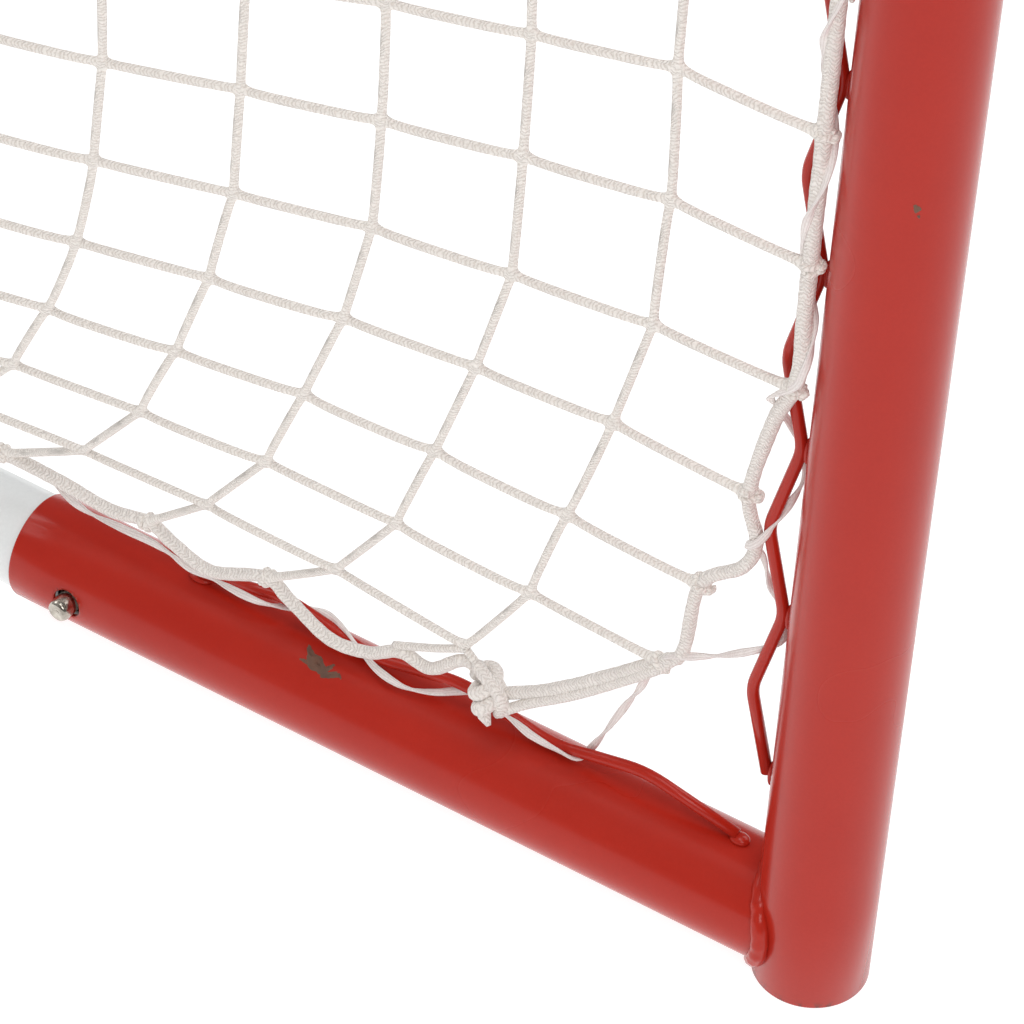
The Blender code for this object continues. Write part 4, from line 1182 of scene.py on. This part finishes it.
for s in np.r_[np.arange(0, total - 0.002, 0.0045), total]:
    on = at_distance(guide, s)
    ahead = heading(guide, s, 0.003)
    inward = np.cross((0, 0, 1), ahead)
    peak = on + BAR_HIGH * (np.array((0, 0, math.cos(BEND_BAR_TILT))) + inward * math.sin(BEND_BAR_TILT))
    rope_at = at_distance(BASE_ROPE, nearest(BASE_ROPE, on + inward * 0.027 + (0, 0, ROPE_HEIGHT - BASE_Z)))
    share = smoothstep(0, 0.03, wire_length - s)
    across = unit(rope_at - peak)
    reach = share * np.linalg.norm(rope_at - peak) / 2 + BRAID_R + CORD_R + 0.0006
    middle = rope_at + share * (peak - rope_at) / 2
    a = math.pi * (s - half_wave) / half_wave
    line.append(middle - across * reach * math.cos(a) + np.cross(ahead, across) * 0.0048 * math.sin(a))
line = np.array(line)
line[-1, 0] = 0
build = Build()
build.ribbon(smooth_curve(both_halves(line), 0.0014), CORD_R)
build.piece("base_lacing", CORD, replaces=["base_lacing_cord"], slot="lacing_cord")

# lacing on the crossbar: round the bar and the rope
line = []
for x in np.arange(-0.590, 0.5901, HALF_PITCH / 7):
    a = 2 * math.pi * x / (2 * HALF_PITCH)
    r, angle = TUBE_R + ROPE_R + 0.0024, math.radians(63)
    spot = np.array((r * math.sin(angle) + 0.0038 * math.sin(a), -r * math.cos(angle) + 0.0038 * math.cos(a)))
    spot = spot * max(1.0, (TUBE_R + CORD_R + 0.0005) / np.linalg.norm(spot))
    line.append((x, POST_Y + spot[0], TOP_Z + spot[1]))
build = Build()
build.ribbon(smooth_curve(line, 0.0016), CORD_R)
build.piece("crossbar_lacing", CORD, replaces=["crossbar_lacing_cord"], slot="lacing_cord")

# lacing round the shelf tube, with the net's top border rope inside it
guide = shelf_line(front=0.050, middle=0.0, steps=40)
total = distances(guide)[-1]
front_button = SHELF_STUB_END - BUTTON_FROM_END - 0.050
rear_button = total - (SHELF_SLEEVE_HALF - BUTTON_FROM_END)
turns = round((rear_button - front_button) / 0.062)
pitch = (rear_button - front_button) / turns
line = []
for s in np.r_[np.arange(0, total, 0.0040), total]:
    p = at_distance(guide, s)
    ahead = heading(guide, s, 0.002)
    inward = np.cross((0, 0, 1), ahead)
    a = 2 * math.pi * (s - front_button) / pitch - math.pi / 2
    front_sleeve, rear_sleeve = SHELF_STUB_END - 0.050, total - SHELF_SLEEVE_HALF
    on_sleeve = (1 - smoothstep(front_sleeve, front_sleeve + 0.010, s)
                 + smoothstep(rear_sleeve - 0.010, rear_sleeve, s))
    r = INNER_R + CORD_R + (TUBE_R - INNER_R) * on_sleeve
    line.append(p + r * (inward * math.cos(a) + np.array((0, 0, 1)) * math.sin(a)))
line = np.array(line)
line[-1, 0] = 0
build = Build()
build.ribbon(smooth_curve(both_halves(line), 0.0016), CORD_R)
build.piece("shelf_lacing", CORD, replaces=["shelf_lacing_cord"], slot="lacing_cord")
border = SHELF_EDGE.copy()
border[:, 2] = TOP_Z - 0.0080
rope_piece("shelf_border_rope", resampled(both_halves(border), 0.004), 0.0024, [], sides=12)

# ---- leaf springs: folded strips whose upper leg sits under the button ---------------------------
def strip(line, half_width, thickness):
    """A flat strip along a line in the local x-z plane, with softly rounded edges."""
    run = unit(np.gradient(line, axis=0))
    normal = np.stack([-run[:, 1], run[:, 0]], -1)
    edge = 0.00012
    rings = []
    for p, n in zip(line, normal):
        ring = []
        for level in (0, 1):
            for sign in ((-1, 1) if level else (1, -1)):
                corner = ((0, edge), (edge, 0))
                for inset, lift in (corner if (sign < 0) == bool(level) else corner[::-1]):
                    h = thickness - lift if level else lift
                    q = p + n * h
                    ring.append((q[0], sign * (half_width - inset), q[1]))
        rings.append(ring)
    return np.array(rings)


SPRING_T, SPRING_HALF, FOLD_AT, FOLD_R = 0.0007, 0.0035, -0.0400, 0.0035
UPPER_END, LOWER_END = (0.0070, 0.0126), (0.0090, -0.0143)
fold_angle = np.linspace(0, math.pi, 13)
fold = np.stack([FOLD_AT - FOLD_R * np.sin(fold_angle), FOLD_R * np.cos(fold_angle)], -1)
spring_line = np.vstack([[UPPER_END], fold, [LOWER_END]])
spring_line = np.vstack([np.linspace(spring_line[0], spring_line[1], 8)[:-1], spring_line[1:-2],
                         np.linspace(spring_line[-2], spring_line[-1], 8)])
spring_rings = strip(spring_line, SPRING_HALF, SPRING_T)
anchor_z = LOWER_END[1]
for label, side in SIDES.items():
    for kind, (centre, outward, mouth) in button_places(side).items():
        build = Build()
        build.grid(spring_rings, distances(spring_rings[:, 0]))
        made = new_mesh(f"leaf_{label}_{kind}", np.vstack(build.verts), build.faces, build.uvs, STEEL)
        made.data.set_sharp_from_angle(angle=math.radians(50))
        made.data.transform(place_on(outward, mouth, centre))
        settle(made, "goal", [f"spring_{label}_{kind}"])
        reach = UPPER_END[1] - anchor_z + SPRING_T
        tuple(outward)
        tuple(Vector(centre) + Vector(outward) * anchor_z)
        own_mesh(made)

# ---- CAD pieces that keep their shape ------------------------------------------------------------
KEPT = {"base_centre_sleeve": WHITE, "shelf_centre_sleeve": WHITE, "centre_support": WHITE,
        "left_post_plug": PLASTIC, "right_post_plug": PLASTIC}
for name, finish in KEPT.items():
    for entry in nodes[name].material_slots:
        entry.material = finish

# ---- floor, light and camera ---------------------------------------------------------------------
floor_mat = Nodes("studio_floor")
floor_mat.colour(floor_mat.ramp(floor_mat.noise(0.8, 2.0), [(0.3, 0.36), (0.7, 0.38)]))
floor_mat.set(Roughness=0.9, Specular_IOR_Level=0.1, Emission_Color=(1.0, 1.0, 1.0), Emission_Strength=0.90)
bpy.ops.mesh.primitive_plane_add(size=60, location=(0, 0, -0.0004))
floor = bpy.context.object
floor.name = "floor"
floor.data.materials.append(floor_mat.mat)

world = bpy.data.worlds.new("studio")
bpy.context.scene.world = world
world.use_nodes = True
world.node_tree.nodes["Background"].inputs["Color"].default_value = (1.0, 1.0, 1.0, 1.0)
world.node_tree.nodes["Background"].inputs["Strength"].default_value = 0.24


def area(name, location, target, size, power):
    data = bpy.data.lights.new(name, "AREA")
    data.shape, data.size, data.size_y, data.energy = "RECTANGLE", size[0], size[1], power
    made = bpy.data.objects.new(name, data)
    made.location = location
    made.rotation_euler = (Vector(target) - Vector(location)).to_track_quat("-Z", "Y").to_euler()
    bpy.context.scene.collection.objects.link(made)


area("key", (-1.9, -2.6, 3.4), (0.2, 0, 0.3), (2.4, 2.4), 66)
area("fill", (3.4, -1.2, 2.6), (0.2, 0, 0.3), (2.2, 2.2), 34)
area("rear", (0.4, 3.4, 3.2), (0.1, 0, 0.4), (3.0, 1.6), 44)
area("top", (0.1, -0.5, 4.6), (0.2, -0.1, 0.0), (2.6, 2.0), 66)

foot = Vector((POST_X, POST_Y, 0))
camera_data = bpy.data.cameras.new("camera")
camera_data.lens, camera_data.sensor_width = 166.35, 36.0
camera_data.clip_start, camera_data.clip_end = 0.05, 200
camera = bpy.data.objects.new("camera", camera_data)
bpy.context.scene.collection.objects.link(camera)
right = Vector((0.54259, -0.83888, 0.04327)).normalized()
forward = Vector((0.63979, 0.37934, -0.66841))
forward = (forward - right * forward.dot(right)).normalized()
camera.matrix_world = Matrix.Translation(foot + Vector((-0.93815, -0.43628, 1.11123))) @ Matrix(
    (right, right.cross(forward), -forward)).transposed().to_4x4()
bpy.context.scene.camera = camera
bpy.context.scene.view_settings.view_transform = "Standard"
